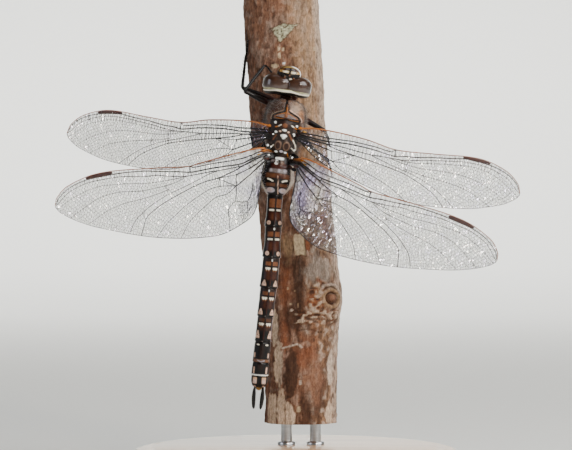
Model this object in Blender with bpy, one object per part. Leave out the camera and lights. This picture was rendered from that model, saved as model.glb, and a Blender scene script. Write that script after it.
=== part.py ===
"""Hawker dragonfly, life size, clinging to a cut length of branch on a small display stand.

The frame is in metres with +Z up: +X is the insect's right, its back faces -Y, and the origin
is the middle of the stand's underside. Sizes below are in millimetres.
"""
import bpy
import bmesh
from math import ceil, copysign, cos, exp, pi, radians, sin, sqrt
from mathutils import Vector

MM = 0.001
GAP = 0.2            # between neighbouring pieces of the insect
STAND_GAP = 0.3      # between the stand's pieces and under the branch

# ---- stand ----
BASE_RADIUS = 30.0
BASE_HEIGHT = 5.0
BASE_CHAMFER = 0.8
ROD_RADIUS = 1.0
ROD_SPREAD = 5.2     # between the two rods

# ---- branch ----
BRANCH_BOTTOM = 9.0
BRANCH_TOP = 86.0
BRANCH_SIDES = 28
BRANCH_RING_STEP = 2.6
BRANCH_AXIS = [(0, 1.0), (18, 0.95), (31, 1.3), (50, -0.36), (69, -1.75), (90, -2.95)]   # height, x
BRANCH_RADIUS = [(0, 6.4), (24, 6.55), (34, 6.75), (56, 6.7), (69, 6.8), (90, 6.75)]
KNOT_HEIGHT = 31.5
KNOT_BEARING = 62.0  # degrees from the front towards +X
KNOT_RISE = 0.9
KNOT_SPREAD = 3.2

# ---- trunk: x, y, z of the middle line from the neck to the tail ----
THORAX_FRONT = Vector((-1.43, -13.5, 66.5))
THORAX_REAR = Vector((-2.86, -13.6, 56.5))
THORAX_SIDES = 20
# along the thorax from the front, half width, rise of the back, drop of the breast
THORAX_FORM = [
    (0.0, 1.6, 2.1, 2.0), (0.4, 2.4, 3.0, 2.9), (1.5, 3.15, 3.8, 3.7), (3.7, 3.45, 4.2, 4.1),
    (5.9, 3.35, 4.1, 4.3), (7.9, 2.95, 3.7, 4.2), (9.3, 2.45, 3.2, 3.5), (9.95, 2.1, 2.6, 2.6),
]

SPINE = [
    Vector((-2.86, -13.7, 56.34)), Vector((-3.63, -14.1, 49.84)), Vector((-4.31, -14.4, 38.80)),
    Vector((-5.38, -14.3, 28.46)), Vector((-6.12, -14.1, 20.91)), Vector((-6.54, -13.9, 15.95)),
]
ABDOMEN_SIDES = 14
# each segment's length, its width at the front, middle and rear, and its depth there
ABDOMEN = [
    (1.95, (4.5, 5.0, 5.4), (4.6, 4.8, 4.9)),
    (4.55, (5.6, 6.0, 3.2), (4.9, 4.9, 3.3)),
    (5.60, (2.8, 2.65, 3.1), (3.0, 2.7, 3.0)),
    (5.45, (2.9, 2.8, 3.3), (2.9, 2.9, 3.2)),
    (5.30, (3.0, 3.0, 3.2), (3.0, 3.0, 3.2)),
    (5.10, (2.9, 2.85, 2.95), (3.0, 3.0, 3.0)),
    (4.40, (2.75, 2.75, 2.9), (2.9, 2.9, 3.0)),
    (3.65, (2.8, 2.9, 3.0), (2.9, 3.0, 3.0)),
    (2.30, (2.9, 3.0, 3.05), (2.8, 2.8, 2.7)),
    (2.15, (2.95, 2.9, 2.3), (2.5, 2.3, 1.7)),
]
APPENDAGE_LENGTH = 3.85
APPENDAGE_WIDTH = 0.72
PLATE_THICKNESS = 0.5
OVIPOSITOR_LENGTH = 3.6

# ---- head, in its own frame: right, forward and up through the crown ----
HEAD_CENTRE = Vector((-1.55, -13.9, 69.0))
HEAD_LEAN = radians(9.0)
EYE_SIZE = Vector((2.3, 1.7, 2.85))
EYE_OFFSET = Vector((2.03, 0.3, 0.0))
EYE_REAR = -0.85     # flat back of the eyes, against the head capsule
# down the face from the frons to the lips: height over the centre, half width, rear, front
FACE_FORM = [
    (2.25, 0.9, 1.2, 2.3), (1.9, 1.65, 0.7, 3.0), (1.1, 2.05, 0.5, 3.45), (-0.4, 2.05, 0.5, 3.4),
    (-1.7, 1.8, 0.4, 3.05), (-2.7, 1.35, 0.2, 2.4), (-3.1, 0.8, 0.3, 1.7),
]
# along the head capsule behind the eyes: forward, half width, half depth
CAPSULE_FORM = [(-1.6, 1.3, 1.2), (-1.45, 2.6, 1.9), (-1.2, 3.75, 2.55), (-1.05, 3.85, 2.6)]
ANTENNA_ROOT = Vector((0.85, 1.5, 2.75))
ANTENNA_TIP = Vector((2.3, 4.0, 3.6))
ANTENNA_RADIUS = (0.27, 0.25)
NECK_RADIUS = 0.8
NECK_LENGTH = 0.45

# ---- wings: root, tip, and the edges as (span, chord) with the chord towards the tail ----
WINGS = {
    "forewing_right": (Vector((0.34, -17.1, 62.18)), Vector((39.07, -16.7, 51.03))),
    "forewing_left": (Vector((-4.19, -17.1, 62.53)), Vector((-41.19, -0.5, 62.05))),
    "hindwing_right": (Vector((-0.17, -17.85, 55.25)), Vector((34.84, -18.4, 38.74))),
    "hindwing_left": (Vector((-4.89, -17.85, 56.62)), Vector((-43.01, -11.8, 48.11))),
}
FOREWING_FRONT = [
    (0, 0.75), (4, -0.25), (12, -0.75), (17.6, -0.45), (24, -1.55), (32, -3.0), (37, -2.3),
    (39.8, -0.6), (40.6, 0.95),
]
FOREWING_REAR = [
    (0, 1.5), (2, 3.4), (6, 5.4), (14, 7.1), (22, 7.9), (32, 6.2), (38, 3.75), (40.1, 2.1),
    (40.6, 1.25),
]
HINDWING_FRONT = [
    (0, -1.4), (2, -1.75), (12, -1.45), (13.9, -1.3), (20, -2.35), (30, -3.65), (36, -2.65),
    (38.4, -1.0), (39.0, 0.3),
]
HINDWING_REAR = [
    (0, 0.3), (1.2, 1.5), (2.8, 5.6), (4.3, 8.9), (7, 10.6), (12, 11.65), (22, 9.8), (32, 5.85),
    (36, 3.6), (38.4, 1.6), (39.0, 0.6),
]
WING_STATIONS = 26
WING_START = 0.6     # span where the plate clears the thorax
# degrees by which the rear of a wing leans towards the body
WING_RAKE = {"forewing_right": 0, "forewing_left": 0, "hindwing_right": 8, "hindwing_left": 0}

# ---- legs: coxa, hip and knee as x, y, z; ankle and toe as height and bearing on the bark ----
LEGS = {
    "leg_front_left": (
        (-2.1, -10.2, 66.1), (-3.1, -8.8, 66.4), (-9.5, -8.6, 68.9), (74.9, -66), (77.2, -61)),
    "leg_middle_left": (
        (-3.3, -9.4, 64.5), (-4.3, -10.1, 65.9), (-9.1, -10.9, 68.2), (71.3, -34), (73.6, -29)),
    "leg_hind_left": (
        (-3.2, -9.1, 62.2), (-3.9, -8.9, 61.2), (-8.1, -10.4, 54.6), (58.5, -64), (60.9, -74)),
    "leg_front_right": (
        (-0.7, -10.2, 66.1), (-0.5, -8.9, 66.6), (1.2, -9.4, 70.2), (71.6, -11), (73.2, -20)),
    "leg_middle_right": (
        (-0.2, -9.6, 64.3), (0.6, -9.1, 63.8), (5.2, -9.8, 61.2), (60.2, 68), (58.7, 86)),
    "leg_hind_right": (
        (-0.8, -9.1, 62.2), (-0.2, -8.9, 61.4), (2.9, -11.8, 58.1), (56.2, 64), (53.6, 84)),
}
FEMUR_RADII = [0.45, 0.54, 0.5, 0.42, 0.34]
TIBIA_RADII = [0.33, 0.28, 0.26]
TARSUS_RADII = [0.26, 0.25, 0.25]
LEG_SIDES = 7
FOOT_CLEARANCE = 0.5   # from the bark to the middle of the foot

# ---- colours as linear red, green, blue, with roughness and metallic ----
MATERIALS = {
    "bark": ((0.20, 0.13, 0.10), 0.9, 0.0),
    "pale_wood": ((0.66, 0.48, 0.30), 0.5, 0.0),
    "steel": ((0.60, 0.60, 0.60), 0.3, 1.0),
    "eye_brown": ((0.16, 0.09, 0.06), 0.15, 0.0),
    "face_amber": ((0.45, 0.30, 0.13), 0.35, 0.0),
    "thorax_brown": ((0.17, 0.10, 0.06), 0.5, 0.0),
    "abdomen_brown": ((0.12, 0.06, 0.04), 0.35, 0.0),
    "leg_black": ((0.02, 0.018, 0.018), 0.25, 0.0),
    "wing_clear": ((0.62, 0.60, 0.56), 0.2, 0.0),
}


def clear_scene():
    for old in list(bpy.data.objects):
        bpy.data.objects.remove(old, do_unlink=True)


def make_material(name):
    colour, roughness, metallic = MATERIALS[name]
    material = bpy.data.materials.new(name)
    material.use_nodes = True
    shader = material.node_tree.nodes["Principled BSDF"]
    shader.inputs["Base Color"].default_value = (*colour, 1.0)
    shader.inputs["Roughness"].default_value = roughness
    shader.inputs["Metallic"].default_value = metallic
    return material


def add_object(name, bm, material, parent):
    """Turn a millimetre bmesh into one named object with its faces pointing out."""
    bmesh.ops.scale(bm, vec=(MM, MM, MM), verts=bm.verts)
    bmesh.ops.recalc_face_normals(bm, faces=bm.faces)
    mesh = bpy.data.meshes.new(name)
    bm.to_mesh(mesh)
    bm.free()
    mesh.shade_smooth()
    mesh.set_sharp_from_angle(angle=radians(40))
    mesh.materials.append(material)
    obj = bpy.data.objects.new(name, mesh)
    obj.parent = parent
    bpy.context.scene.collection.objects.link(obj)
    return obj


def curve_value(points, t):
    """Value at t on a smooth curve through (t, value) pairs."""
    last = len(points) - 2
    i = next((k for k in range(last + 1) if t <= points[k + 1][0]), last)
    (t0, v0), (t1, v1) = points[i], points[i + 1]
    before = points[max(i - 1, 0)]
    after = points[min(i + 2, last + 1)]
    slope0 = (v1 - before[1]) / (t1 - before[0])
    slope1 = (after[1] - v0) / (after[0] - t0)
    span = t1 - t0
    u = (t - t0) / span
    ease_in = u * (1 - u) ** 2
    ease_out = u * u * (1 - u)
    blend = u * u * (3 - 2 * u)
    return v0 + (v1 - v0) * blend + span * (slope0 * ease_in - slope1 * ease_out)


def loft(rings):
    """A closed body: the first ring as a face, drawn out through the others."""
    bm = bmesh.new()
    bmesh.ops.create_circle(bm, cap_ends=True, segments=len(rings[0]), radius=1.0)
    bm.faces.ensure_lookup_table()
    first = bm.faces[0]
    cap = first
    for vert, point in zip(cap.verts, rings[0]):
        vert.co = point
    for ring in rings[1:]:
        grown = bmesh.ops.extrude_face_region(bm, geom=[cap])
        if cap is not first:
            bmesh.ops.delete(bm, geom=[cap], context="FACES_ONLY")
        cap = next(item for item in grown["geom"] if isinstance(item, bmesh.types.BMFace))
        for vert, point in zip(cap.verts, ring):
            vert.co = point
    return bm


def oval(centre, right, up, half_width, rise, drop, sides, power=2.0):
    """Points round a rounded section; rise and drop are its heights over and under the centre."""
    points = []
    for k in range(sides):
        angle = 2 * pi * (k + 0.5) / sides
        across = copysign(abs(cos(angle)) ** (2 / power), cos(angle))
        along = copysign(abs(sin(angle)) ** (2 / power), sin(angle))
        height = rise if along > 0 else drop
        points.append(centre + right * (half_width * across) + up * (height * along))
    return points


def frame_along(direction, up_hint=Vector((0, -1, 0))):
    """Right and up vectors square to a direction."""
    right = up_hint.cross(direction).normalized()
    up = direction.cross(right).normalized()
    return right, up


def tube(points, radii, sides):
    """A closed tube through points, with a radius at each."""
    rings = []
    for i, point in enumerate(points):
        ahead = points[min(i + 1, len(points) - 1)]
        behind = points[max(i - 1, 0)]
        right, up = frame_along((ahead - behind).normalized())
        rings.append(oval(point, right, up, radii[i], radii[i], radii[i], sides))
    return loft(rings)


# ---- stand and branch ----
def branch_axis(height):
    return Vector((curve_value(BRANCH_AXIS, height), 0.0, height))


def bark_radius(height, bearing):
    """Radius of the branch, with the knot's swelling."""
    turn = (bearing - radians(KNOT_BEARING) + pi) % (2 * pi) - pi
    base = curve_value(BRANCH_RADIUS, height)
    distance = sqrt((height - KNOT_HEIGHT) ** 2 + (turn * base) ** 2)
    return base + KNOT_RISE * exp(-((distance / KNOT_SPREAD) ** 2))


def bark_point(height, bearing, clearance=0.0):
    """A point on the bark, or over it; the bearing runs from the front towards +X."""
    reach = bark_radius(height, bearing) + clearance
    return branch_axis(height) + Vector((sin(bearing), -cos(bearing), 0)) * reach


def build_perch(material, root):
    count = ceil((BRANCH_TOP - BRANCH_BOTTOM) / BRANCH_RING_STEP)
    rings = []
    for i in range(count + 1):
        height = BRANCH_BOTTOM + (BRANCH_TOP - BRANCH_BOTTOM) * i / count
        bearings = [2 * pi * k / BRANCH_SIDES for k in range(BRANCH_SIDES)]
        rings.append([bark_point(height, bearing) for bearing in bearings])
    return add_object("perch", loft(rings), material, root)


def build_stand(wood, steel, root):
    base = bmesh.new()
    bmesh.ops.create_cone(base, cap_ends=True, segments=48, radius1=BASE_RADIUS,
                          radius2=BASE_RADIUS, depth=BASE_HEIGHT)
    bmesh.ops.translate(base, vec=(0, 0, BASE_HEIGHT / 2), verts=base.verts)
    top_rim = [e for e in base.edges if all(v.co.z > BASE_HEIGHT / 2 for v in e.verts)]
    bmesh.ops.bevel(base, geom=top_rim, affect="EDGES", offset=BASE_CHAMFER, segments=3,
                    profile=0.5, material=-1)
    add_object("stand_base", base, wood, root)
    low = BASE_HEIGHT + STAND_GAP
    high = BRANCH_BOTTOM - STAND_GAP
    for side, name in ((-1, "stand_rod_left"), (1, "stand_rod_right")):
        foot = branch_axis(BRANCH_BOTTOM).x + side * ROD_SPREAD / 2
        rod = tube([Vector((foot, 0, low)), Vector((foot, 0, high))], (ROD_RADIUS, ROD_RADIUS), 20)
        add_object(name, rod, steel, root)


# ---- trunk ----
def build_thorax(material, root):
    direction = (THORAX_REAR - THORAX_FRONT).normalized()
    right, up = frame_along(-direction)
    rings = []
    for along, half_width, rise, drop in THORAX_FORM:
        centre = THORAX_FRONT + direction * along
        rings.append(oval(centre, right, up, half_width, rise, drop, THORAX_SIDES, 2.2))
    return add_object("thorax", loft(rings), material, root)


def spine_lengths():
    """Distance along the abdomen at each point of the spine."""
    lengths = [0.0]
    for near, far in zip(SPINE, SPINE[1:]):
        lengths.append(lengths[-1] + (far - near).length)
    return lengths


def spine_frame(distance):
    """Centre, right and up on the spine's smooth curve, a distance from the waist."""
    stations = list(zip(spine_lengths(), SPINE))
    centre = curve_value(stations, distance)
    tangent = (curve_value(stations, distance - 0.2) - curve_value(stations, distance + 0.2)).normalized()
    right, up = frame_along(tangent)
    return centre, right, up


def build_abdomen(material, root):
    front = 0.0
    for number, (length, widths, depths) in enumerate(ABDOMEN, start=1):
        start = front + GAP / 2
        end = front + length - GAP / 2
        rings = []
        for step in range(5):
            part = step / 4
            centre, right, up = spine_frame(start + (end - start) * part)
            half_width = curve_value(list(zip((0, 0.5, 1), widths)), part) / 2
            half_depth = curve_value(list(zip((0, 0.5, 1), depths)), part) / 2
            rings.append(oval(centre, right, up, half_width, half_depth, half_depth, ABDOMEN_SIDES))
        add_object(f"abdomen_{number}", loft(rings), material, root)
        front += length
    return front


def build_tail_plates(material, root, abdomen_length):
    """The pair of leaf-shaped upper appendages and the ovipositor under the last segments."""
    end, right, up = spine_frame(abdomen_length)
    back = right.cross(up)
    for side, name in ((-1, "appendage_left"), (1, "appendage_right")):
        rings = []
        for part, spread in ((0.0, 0.45), (0.2, 0.8), (0.45, 1.0), (0.75, 0.9), (1.0, 0.4)):
            bow = side * (0.72 + 0.08 * sin(pi * part) - 0.12 * part)
            centre = end - back * (GAP + APPENDAGE_LENGTH * part) + right * bow
            rings.append(oval(centre, right, up, spread * APPENDAGE_WIDTH / 2,
                              PLATE_THICKNESS / 2, PLATE_THICKNESS / 2, 8))
        add_object(name, loft(rings), material, root)
    rings = []
    for part, half in ((0.0, 0.30), (0.35, 0.42), (0.75, 0.36), (1.0, 0.25)):
        place, right, up = spine_frame(abdomen_length - 4.3 + OVIPOSITOR_LENGTH * part)
        centre = place - up * (1.85 - 0.25 * part)
        rings.append(oval(centre, right, up, half, 0.25, 0.25, 8))
    add_object("ovipositor", loft(rings), material, root)


# ---- head ----
HEAD_RIGHT = Vector((cos(HEAD_LEAN), 0, -sin(HEAD_LEAN)))
HEAD_FORWARD = Vector((sin(HEAD_LEAN), 0, cos(HEAD_LEAN)))
HEAD_UP = Vector((0, -1, 0))


def head_point(right, forward, up):
    return HEAD_CENTRE + HEAD_RIGHT * right + HEAD_FORWARD * forward + HEAD_UP * up


def face_body(grow):
    """The face from the frons down to the lips; grow makes the cutter that clears it."""
    rings = []
    for height, half_width, rear, front in FACE_FORM:
        centre = head_point(0, (rear + front) / 2, height + copysign(grow, height))
        half_length = (front - rear) / 2 + grow
        rings.append(oval(centre, HEAD_RIGHT, HEAD_FORWARD, half_width + grow, half_length,
                          half_length, 16, 2.3))
    return loft(rings)


def build_head(materials, root):
    add_object("face", face_body(0.0), materials["face_amber"], root)
    cutter = add_object("face_clearance", face_body(GAP), materials["face_amber"], root)
    cutter.hide_render = True
    cutter.display_type = "WIRE"

    for side, name in ((-1, "eye_left"), (1, "eye_right")):
        eye = bmesh.new()
        bmesh.ops.create_uvsphere(eye, u_segments=20, v_segments=12, radius=1.0)
        for vert in eye.verts:
            local = Vector(a * b for a, b in zip(vert.co, EYE_SIZE))
            vert.co = head_point(side * EYE_OFFSET.x + local.x, EYE_OFFSET.y + local.y, local.z)
        cut_flat(eye, head_point(side * GAP / 2, 0, 0), -side * HEAD_RIGHT)
        cut_flat(eye, head_point(0, EYE_REAR, 0), -HEAD_FORWARD)
        obj = add_object(name, eye, materials["eye_brown"], root)
        trim = obj.modifiers.new("face_seat", "BOOLEAN")
        trim.operation = "DIFFERENCE"
        trim.object = cutter

    rings = []
    for forward, half_width, half_depth in CAPSULE_FORM:
        centre = head_point(0, forward, -0.1)
        rings.append(oval(centre, HEAD_RIGHT, HEAD_UP, half_width, half_depth, half_depth, 20))
    add_object("head", loft(rings), materials["thorax_brown"], root)

    for side, name in ((-1, "antenna_left"), (1, "antenna_right")):
        ends = [head_point(side * p.x, p.y, p.z) for p in (ANTENNA_ROOT, ANTENNA_TIP)]
        add_object(name, tube(ends, ANTENNA_RADIUS, 6), materials["leg_black"], root)

    neck_front = head_point(0, CAPSULE_FORM[0][0] - GAP, 0)
    neck_rear = neck_front - HEAD_FORWARD * NECK_LENGTH
    add_object("neck", tube([neck_front, neck_rear], (NECK_RADIUS, NECK_RADIUS), 12),
               materials["thorax_brown"], root)


def cut_flat(bm, point, outward):
    """Remove what lies beyond a plane and close the cut."""
    geometry = bm.verts[:] + bm.edges[:] + bm.faces[:]
    cut = bmesh.ops.bisect_plane(bm, geom=geometry, plane_co=point, plane_no=outward,
                                 clear_outer=True, dist=1e-5)
    rim = [item for item in cut["geom_cut"] if isinstance(item, bmesh.types.BMEdge)]
    bmesh.ops.contextual_create(bm, geom=rim)


# ---- wings ----
def build_wing(name, material, root):
    """A thin plate between two smooth edges, laid on the line from wing root to wing tip."""
    kind = name.split("_")[0]
    near, far = WINGS[name]
    front_edge, rear_edge = {
        "forewing": (FOREWING_FRONT, FOREWING_REAR),
        "hindwing": (HINDWING_FRONT, HINDWING_REAR),
    }[kind]
    along = (far - near).normalized()
    chordwise = Vector((along.z, 0, -along.x)).normalized()
    if chordwise.z > 0:
        chordwise = -chordwise
    normal = along.cross(chordwise).normalized()
    rake = radians(WING_RAKE[name])
    chordwise = chordwise * cos(rake) - along * sin(rake)
    tip = front_edge[-1][0]
    rings = []
    for i in range(WING_STATIONS + 1):
        span = WING_START + (tip - WING_START) * sin(pi / 2 * i / WING_STATIONS)
        front = curve_value(front_edge, span)
        rear = curve_value(rear_edge, span)
        edge_points = []
        for chord, side in ((front, 1), ((front + rear) / 2, 1), (rear, 1),
                            (rear, -1), ((front + rear) / 2, -1), (front, -1)):
            offset = along * span + chordwise * chord + normal * (side * PLATE_THICKNESS / 2)
            edge_points.append(near + offset)
        rings.append(edge_points)
    return add_object(name, loft(rings), material, root)


# ---- legs ----
def build_leg(name, material, root):
    """Femur with its coxa, tibia and tarsus, each a tapered tube that stops short of the next."""
    coxa, hip, knee = (Vector(point) for point in LEGS[name][:3])
    ankle_place, toe_place = LEGS[name][3:]
    ankle = bark_point(ankle_place[0], radians(ankle_place[1]), FOOT_CLEARANCE + 0.2)
    toe = bark_point(toe_place[0], radians(toe_place[1]), FOOT_CLEARANCE)
    heel = bark_point((ankle_place[0] + toe_place[0]) / 2,
                      radians((ankle_place[1] + toe_place[1]) / 2), FOOT_CLEARANCE)
    knee_front = knee - (knee - hip).normalized() * GAP
    femur = [coxa] + [hip.lerp(knee_front, part) for part in (0, 0.35, 0.7, 1)]
    add_object(f"{name}_femur", tube(femur, FEMUR_RADII, LEG_SIDES), material, root)
    shin = (ankle - knee).normalized()
    near = knee + shin * (GAP + TIBIA_RADII[0])
    far = ankle - shin * GAP
    tibia = [near, near.lerp(far, 0.5), far]
    add_object(f"{name}_tibia", tube(tibia, TIBIA_RADII, LEG_SIDES), material, root)
    start = ankle + (heel - ankle).normalized() * (GAP + TARSUS_RADII[0])
    foot = tube([start, heel, toe], TARSUS_RADII, LEG_SIDES)
    add_object(f"{name}_tarsus", foot, material, root)


def main():
    clear_scene()
    root = bpy.data.objects.new("dragonfly_display", None)
    bpy.context.scene.collection.objects.link(root)
    materials = {name: make_material(name) for name in MATERIALS}
    build_stand(materials["pale_wood"], materials["steel"], root)
    build_perch(materials["bark"], root)
    build_thorax(materials["thorax_brown"], root)
    length = build_abdomen(materials["abdomen_brown"], root)
    build_tail_plates(materials["leg_black"], root, length)
    build_head(materials, root)
    for name in WINGS:
        build_wing(name, materials["wing_clear"], root)
    for name in LEGS:
        build_leg(name, materials["leg_black"], root)


main()
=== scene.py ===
"""Hawker dragonfly, life size, clinging to a cut length of branch on a turned display stand.

Sizes are in millimetres until a piece is finished, when it is scaled to metres. +X is the
insect's right, its back faces -Y, and the origin is the middle of the stand's underside.
"""
from math import atan2, copysign, cos, exp, hypot, pi, radians, sin, sqrt
from random import Random

import bmesh
import bpy
from mathutils import Matrix, Vector, noise
from mathutils.geometry import delaunay_2d_cdt


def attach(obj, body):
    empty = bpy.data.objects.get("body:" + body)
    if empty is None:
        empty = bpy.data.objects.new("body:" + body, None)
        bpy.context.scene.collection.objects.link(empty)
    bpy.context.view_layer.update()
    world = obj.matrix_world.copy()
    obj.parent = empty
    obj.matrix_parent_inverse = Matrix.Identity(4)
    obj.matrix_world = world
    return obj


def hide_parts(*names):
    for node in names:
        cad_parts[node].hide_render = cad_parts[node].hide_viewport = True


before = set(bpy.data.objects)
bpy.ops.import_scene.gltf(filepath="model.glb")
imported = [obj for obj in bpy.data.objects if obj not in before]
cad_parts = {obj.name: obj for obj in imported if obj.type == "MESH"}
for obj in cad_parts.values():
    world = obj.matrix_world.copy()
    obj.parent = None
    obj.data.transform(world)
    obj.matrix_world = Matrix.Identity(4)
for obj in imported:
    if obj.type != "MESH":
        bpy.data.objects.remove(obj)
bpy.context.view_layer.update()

MM = 0.001
GAP = 0.2

# ---- stand and branch ----
BASE_HEIGHT = 5.0
ROD_RADIUS = 1.0
ROD_SPREAD = 5.2
BRANCH_BOTTOM = 9.0
BRANCH_TOP = 86.0
BRANCH_AXIS = [(0, 1.0), (18, 0.95), (31, 1.3), (50, -0.36), (69, -1.75), (90, -2.95)]   # height, x
BRANCH_RADIUS = [(0, 6.4), (24, 6.55), (34, 6.75), (56, 6.7), (69, 6.8), (90, 6.75)]
KNOT_HEIGHT = 31.5
KNOT_BEARING = 62.0  # degrees from the front towards +X
KNOT_RISE = 0.9
KNOT_SPREAD = 3.2
BUD_BEARING = 46.0   # the bud itself sits on the front slope of the knot

# ---- trunk ----
THORAX_FRONT = Vector((-1.43, -13.5, 66.5))
THORAX_REAR = Vector((-2.86, -13.6, 56.5))
# along the thorax from the front, half width, rise of the back, drop of the breast
THORAX_FORM = [
    (0.0, 1.6, 2.1, 2.0), (0.4, 2.4, 3.0, 2.9), (1.5, 3.15, 3.8, 3.7), (3.7, 3.45, 4.2, 4.1),
    (5.9, 3.35, 4.1, 4.3), (7.9, 2.95, 3.7, 4.2), (9.3, 2.45, 3.2, 3.5), (9.95, 2.1, 2.6, 2.6),
]
THORAX_SQUARENESS = 2.2    # 2 is an ellipse
SPINE = [
    Vector((-2.86, -13.7, 56.34)), Vector((-3.63, -14.1, 49.84)), Vector((-4.31, -14.4, 38.80)),
    Vector((-5.38, -14.3, 28.46)), Vector((-6.12, -14.1, 20.91)), Vector((-6.54, -13.9, 15.95)),
]
# each segment's length, its width at the front, middle and rear, and its depth there
ABDOMEN = [
    (1.95, (4.5, 5.0, 5.4), (4.6, 4.8, 4.9)),
    (4.55, (5.6, 6.0, 3.2), (4.9, 4.9, 3.3)),
    (5.60, (2.8, 2.65, 3.1), (3.0, 2.7, 3.0)),
    (5.45, (2.9, 2.8, 3.3), (2.9, 2.9, 3.2)),
    (5.30, (3.0, 3.0, 3.2), (3.0, 3.0, 3.2)),
    (5.10, (2.9, 2.85, 2.95), (3.0, 3.0, 3.0)),
    (4.40, (2.75, 2.75, 2.9), (2.9, 2.9, 3.0)),
    (3.65, (2.8, 2.9, 3.0), (2.9, 3.0, 3.0)),
    (2.30, (2.9, 3.0, 3.05), (2.8, 2.8, 2.7)),
    (2.15, (2.95, 2.9, 2.3), (2.5, 2.3, 1.7)),
]
ABDOMEN_LENGTH = sum(length for length, _, _ in ABDOMEN)
STEP_REACH = 0.16    # how far the step at a joint is eased to each side
# how far the midline of the back sits to the right along the abdomen: distance, offset
BODY_ROLL = [(0, 0.0), (4, 0.12), (7, 0.2), (22, 0.2), (28, 0.1), (34, 0.0), (41, 0.0)]
APPENDAGE_LENGTH = 3.85
APPENDAGE_WIDTH = 0.72
OVIPOSITOR_LENGTH = 3.6

# ---- head, in its own frame: right, forward and up through the crown ----
HEAD_CENTRE = Vector((-1.55, -13.9, 69.0))
HEAD_LEAN = radians(9.0)
HEAD_RIGHT = Vector((cos(HEAD_LEAN), 0, -sin(HEAD_LEAN)))
HEAD_FORWARD = Vector((sin(HEAD_LEAN), 0, cos(HEAD_LEAN)))
HEAD_UP = Vector((0, -1, 0))
EYE_SIZE = Vector((2.3, 1.7, 2.85))
EYE_OFFSET = Vector((2.03, 0.3, 0.0))
EYE_REAR = -0.85
EYE_SEAM = 0.3    # the eyes meet a little to the right, as the head is tipped
# down the face from the frons to the lips: height over the centre, half width, rear, front
FACE_FORM = [
    (2.25, 0.9, 1.2, 2.3), (1.9, 1.65, 0.7, 3.0), (1.1, 2.05, 0.5, 3.45), (-0.4, 2.05, 0.5, 3.4),
    (-1.7, 1.8, 0.4, 3.05), (-2.7, 1.35, 0.2, 2.4), (-3.1, 0.8, 0.3, 1.7),
]
ANTENNA_ROOT = Vector((0.85, 1.5, 2.75))
ANTENNA_TIP = Vector((2.3, 4.0, 3.6))
NECK_FRONT = -1.5    # hidden inside the head capsule
NECK_LENGTH = 1.55

# ---- wings: root, tip, and the edges as (span, chord) with the chord towards the tail ----
WINGS = {
    "forewing_right": (Vector((0.34, -17.1, 62.18)), Vector((39.07, -16.7, 51.03))),
    "forewing_left": (Vector((-4.19, -17.1, 62.53)), Vector((-41.19, -0.5, 62.05))),
    "hindwing_right": (Vector((-0.17, -17.85, 55.25)), Vector((34.84, -18.4, 38.74))),
    "hindwing_left": (Vector((-4.89, -17.85, 56.62)), Vector((-43.01, -11.8, 48.11))),
}
FRONT_EDGE = {
    "forewing": [(0, 0.75), (4, -0.25), (12, -0.75), (17.6, -0.45), (24, -1.55), (32, -3.0),
                 (37, -2.3), (39.8, -0.6), (40.6, 0.95)],
    "hindwing": [(0, -1.4), (2, -1.75), (12, -1.45), (13.9, -1.3), (20, -2.35), (30, -3.65),
                 (36, -2.65), (38.4, -1.0), (39.0, 0.3)],
}
REAR_EDGE = {
    "forewing": [(0, 1.5), (2, 3.4), (6, 5.4), (14, 7.1), (22, 7.9), (32, 6.2), (38, 3.75),
                 (40.1, 2.1), (40.6, 1.25)],
    "hindwing": [(0, 0.3), (1.2, 1.5), (2.8, 5.6), (4.3, 8.9), (7, 10.6), (12, 11.65), (22, 9.8),
                 (32, 5.85), (36, 3.6), (38.4, 1.6), (39.0, 0.6)],
}
# degrees by which the rear of a wing leans towards the body
WING_RAKE = {"forewing_right": 0, "forewing_left": 0, "hindwing_right": 8, "hindwing_left": 0}
ROOT_SETTLE = {"forewing": 0.5, "hindwing": 1.3}   # how far the root bends down to the thorax

# ---- legs: coxa, hip and knee as x, y, z; ankle and toe as height and bearing on the bark ----
LEGS = {
    "leg_front_left": (
        (-2.1, -10.2, 66.1), (-3.1, -8.8, 66.4), (-9.5, -8.6, 68.9), (74.9, -66), (77.2, -61)),
    "leg_middle_left": (
        (-3.3, -9.4, 64.5), (-4.3, -10.1, 65.9), (-9.1, -10.9, 68.2), (71.3, -34), (73.6, -29)),
    "leg_hind_left": (
        (-3.2, -9.1, 62.2), (-3.9, -8.9, 61.2), (-8.1, -10.4, 54.6), (58.5, -64), (60.9, -74)),
    "leg_front_right": (
        (-0.7, -10.2, 66.1), (-0.5, -8.9, 66.6), (1.2, -9.4, 70.2), (71.6, -11), (73.2, -20)),
    "leg_middle_right": (
        (-0.2, -9.6, 64.3), (0.6, -9.1, 63.8), (5.2, -9.8, 61.2), (60.2, 68), (58.7, 86)),
    "leg_hind_right": (
        (-0.8, -9.1, 62.2), (-0.2, -8.9, 61.4), (2.9, -11.8, 58.1), (56.2, 64), (53.6, 84)),
}
FOOT_CLEARANCE = 0.5
# feet folded back on the bark: ankle, heel and toe as height and bearing
FOLDED_FEET = {
    "leg_middle_left": ((73.0, -29.0), (72.9, -26.0), (71.6, -18.5)),
    "leg_front_right": ((70.9, -10.5), (71.5, -8.5), (72.1, -4.0)),
}


def linear(code):
    """Scene-linear colour of an sRGB hex value."""
    parts = [int(code[i:i + 2], 16) / 255 for i in (1, 3, 5)]
    return Vector([p / 12.92 if p <= 0.04045 else ((p + 0.055) / 1.055) ** 2.4 for p in parts])


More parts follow.
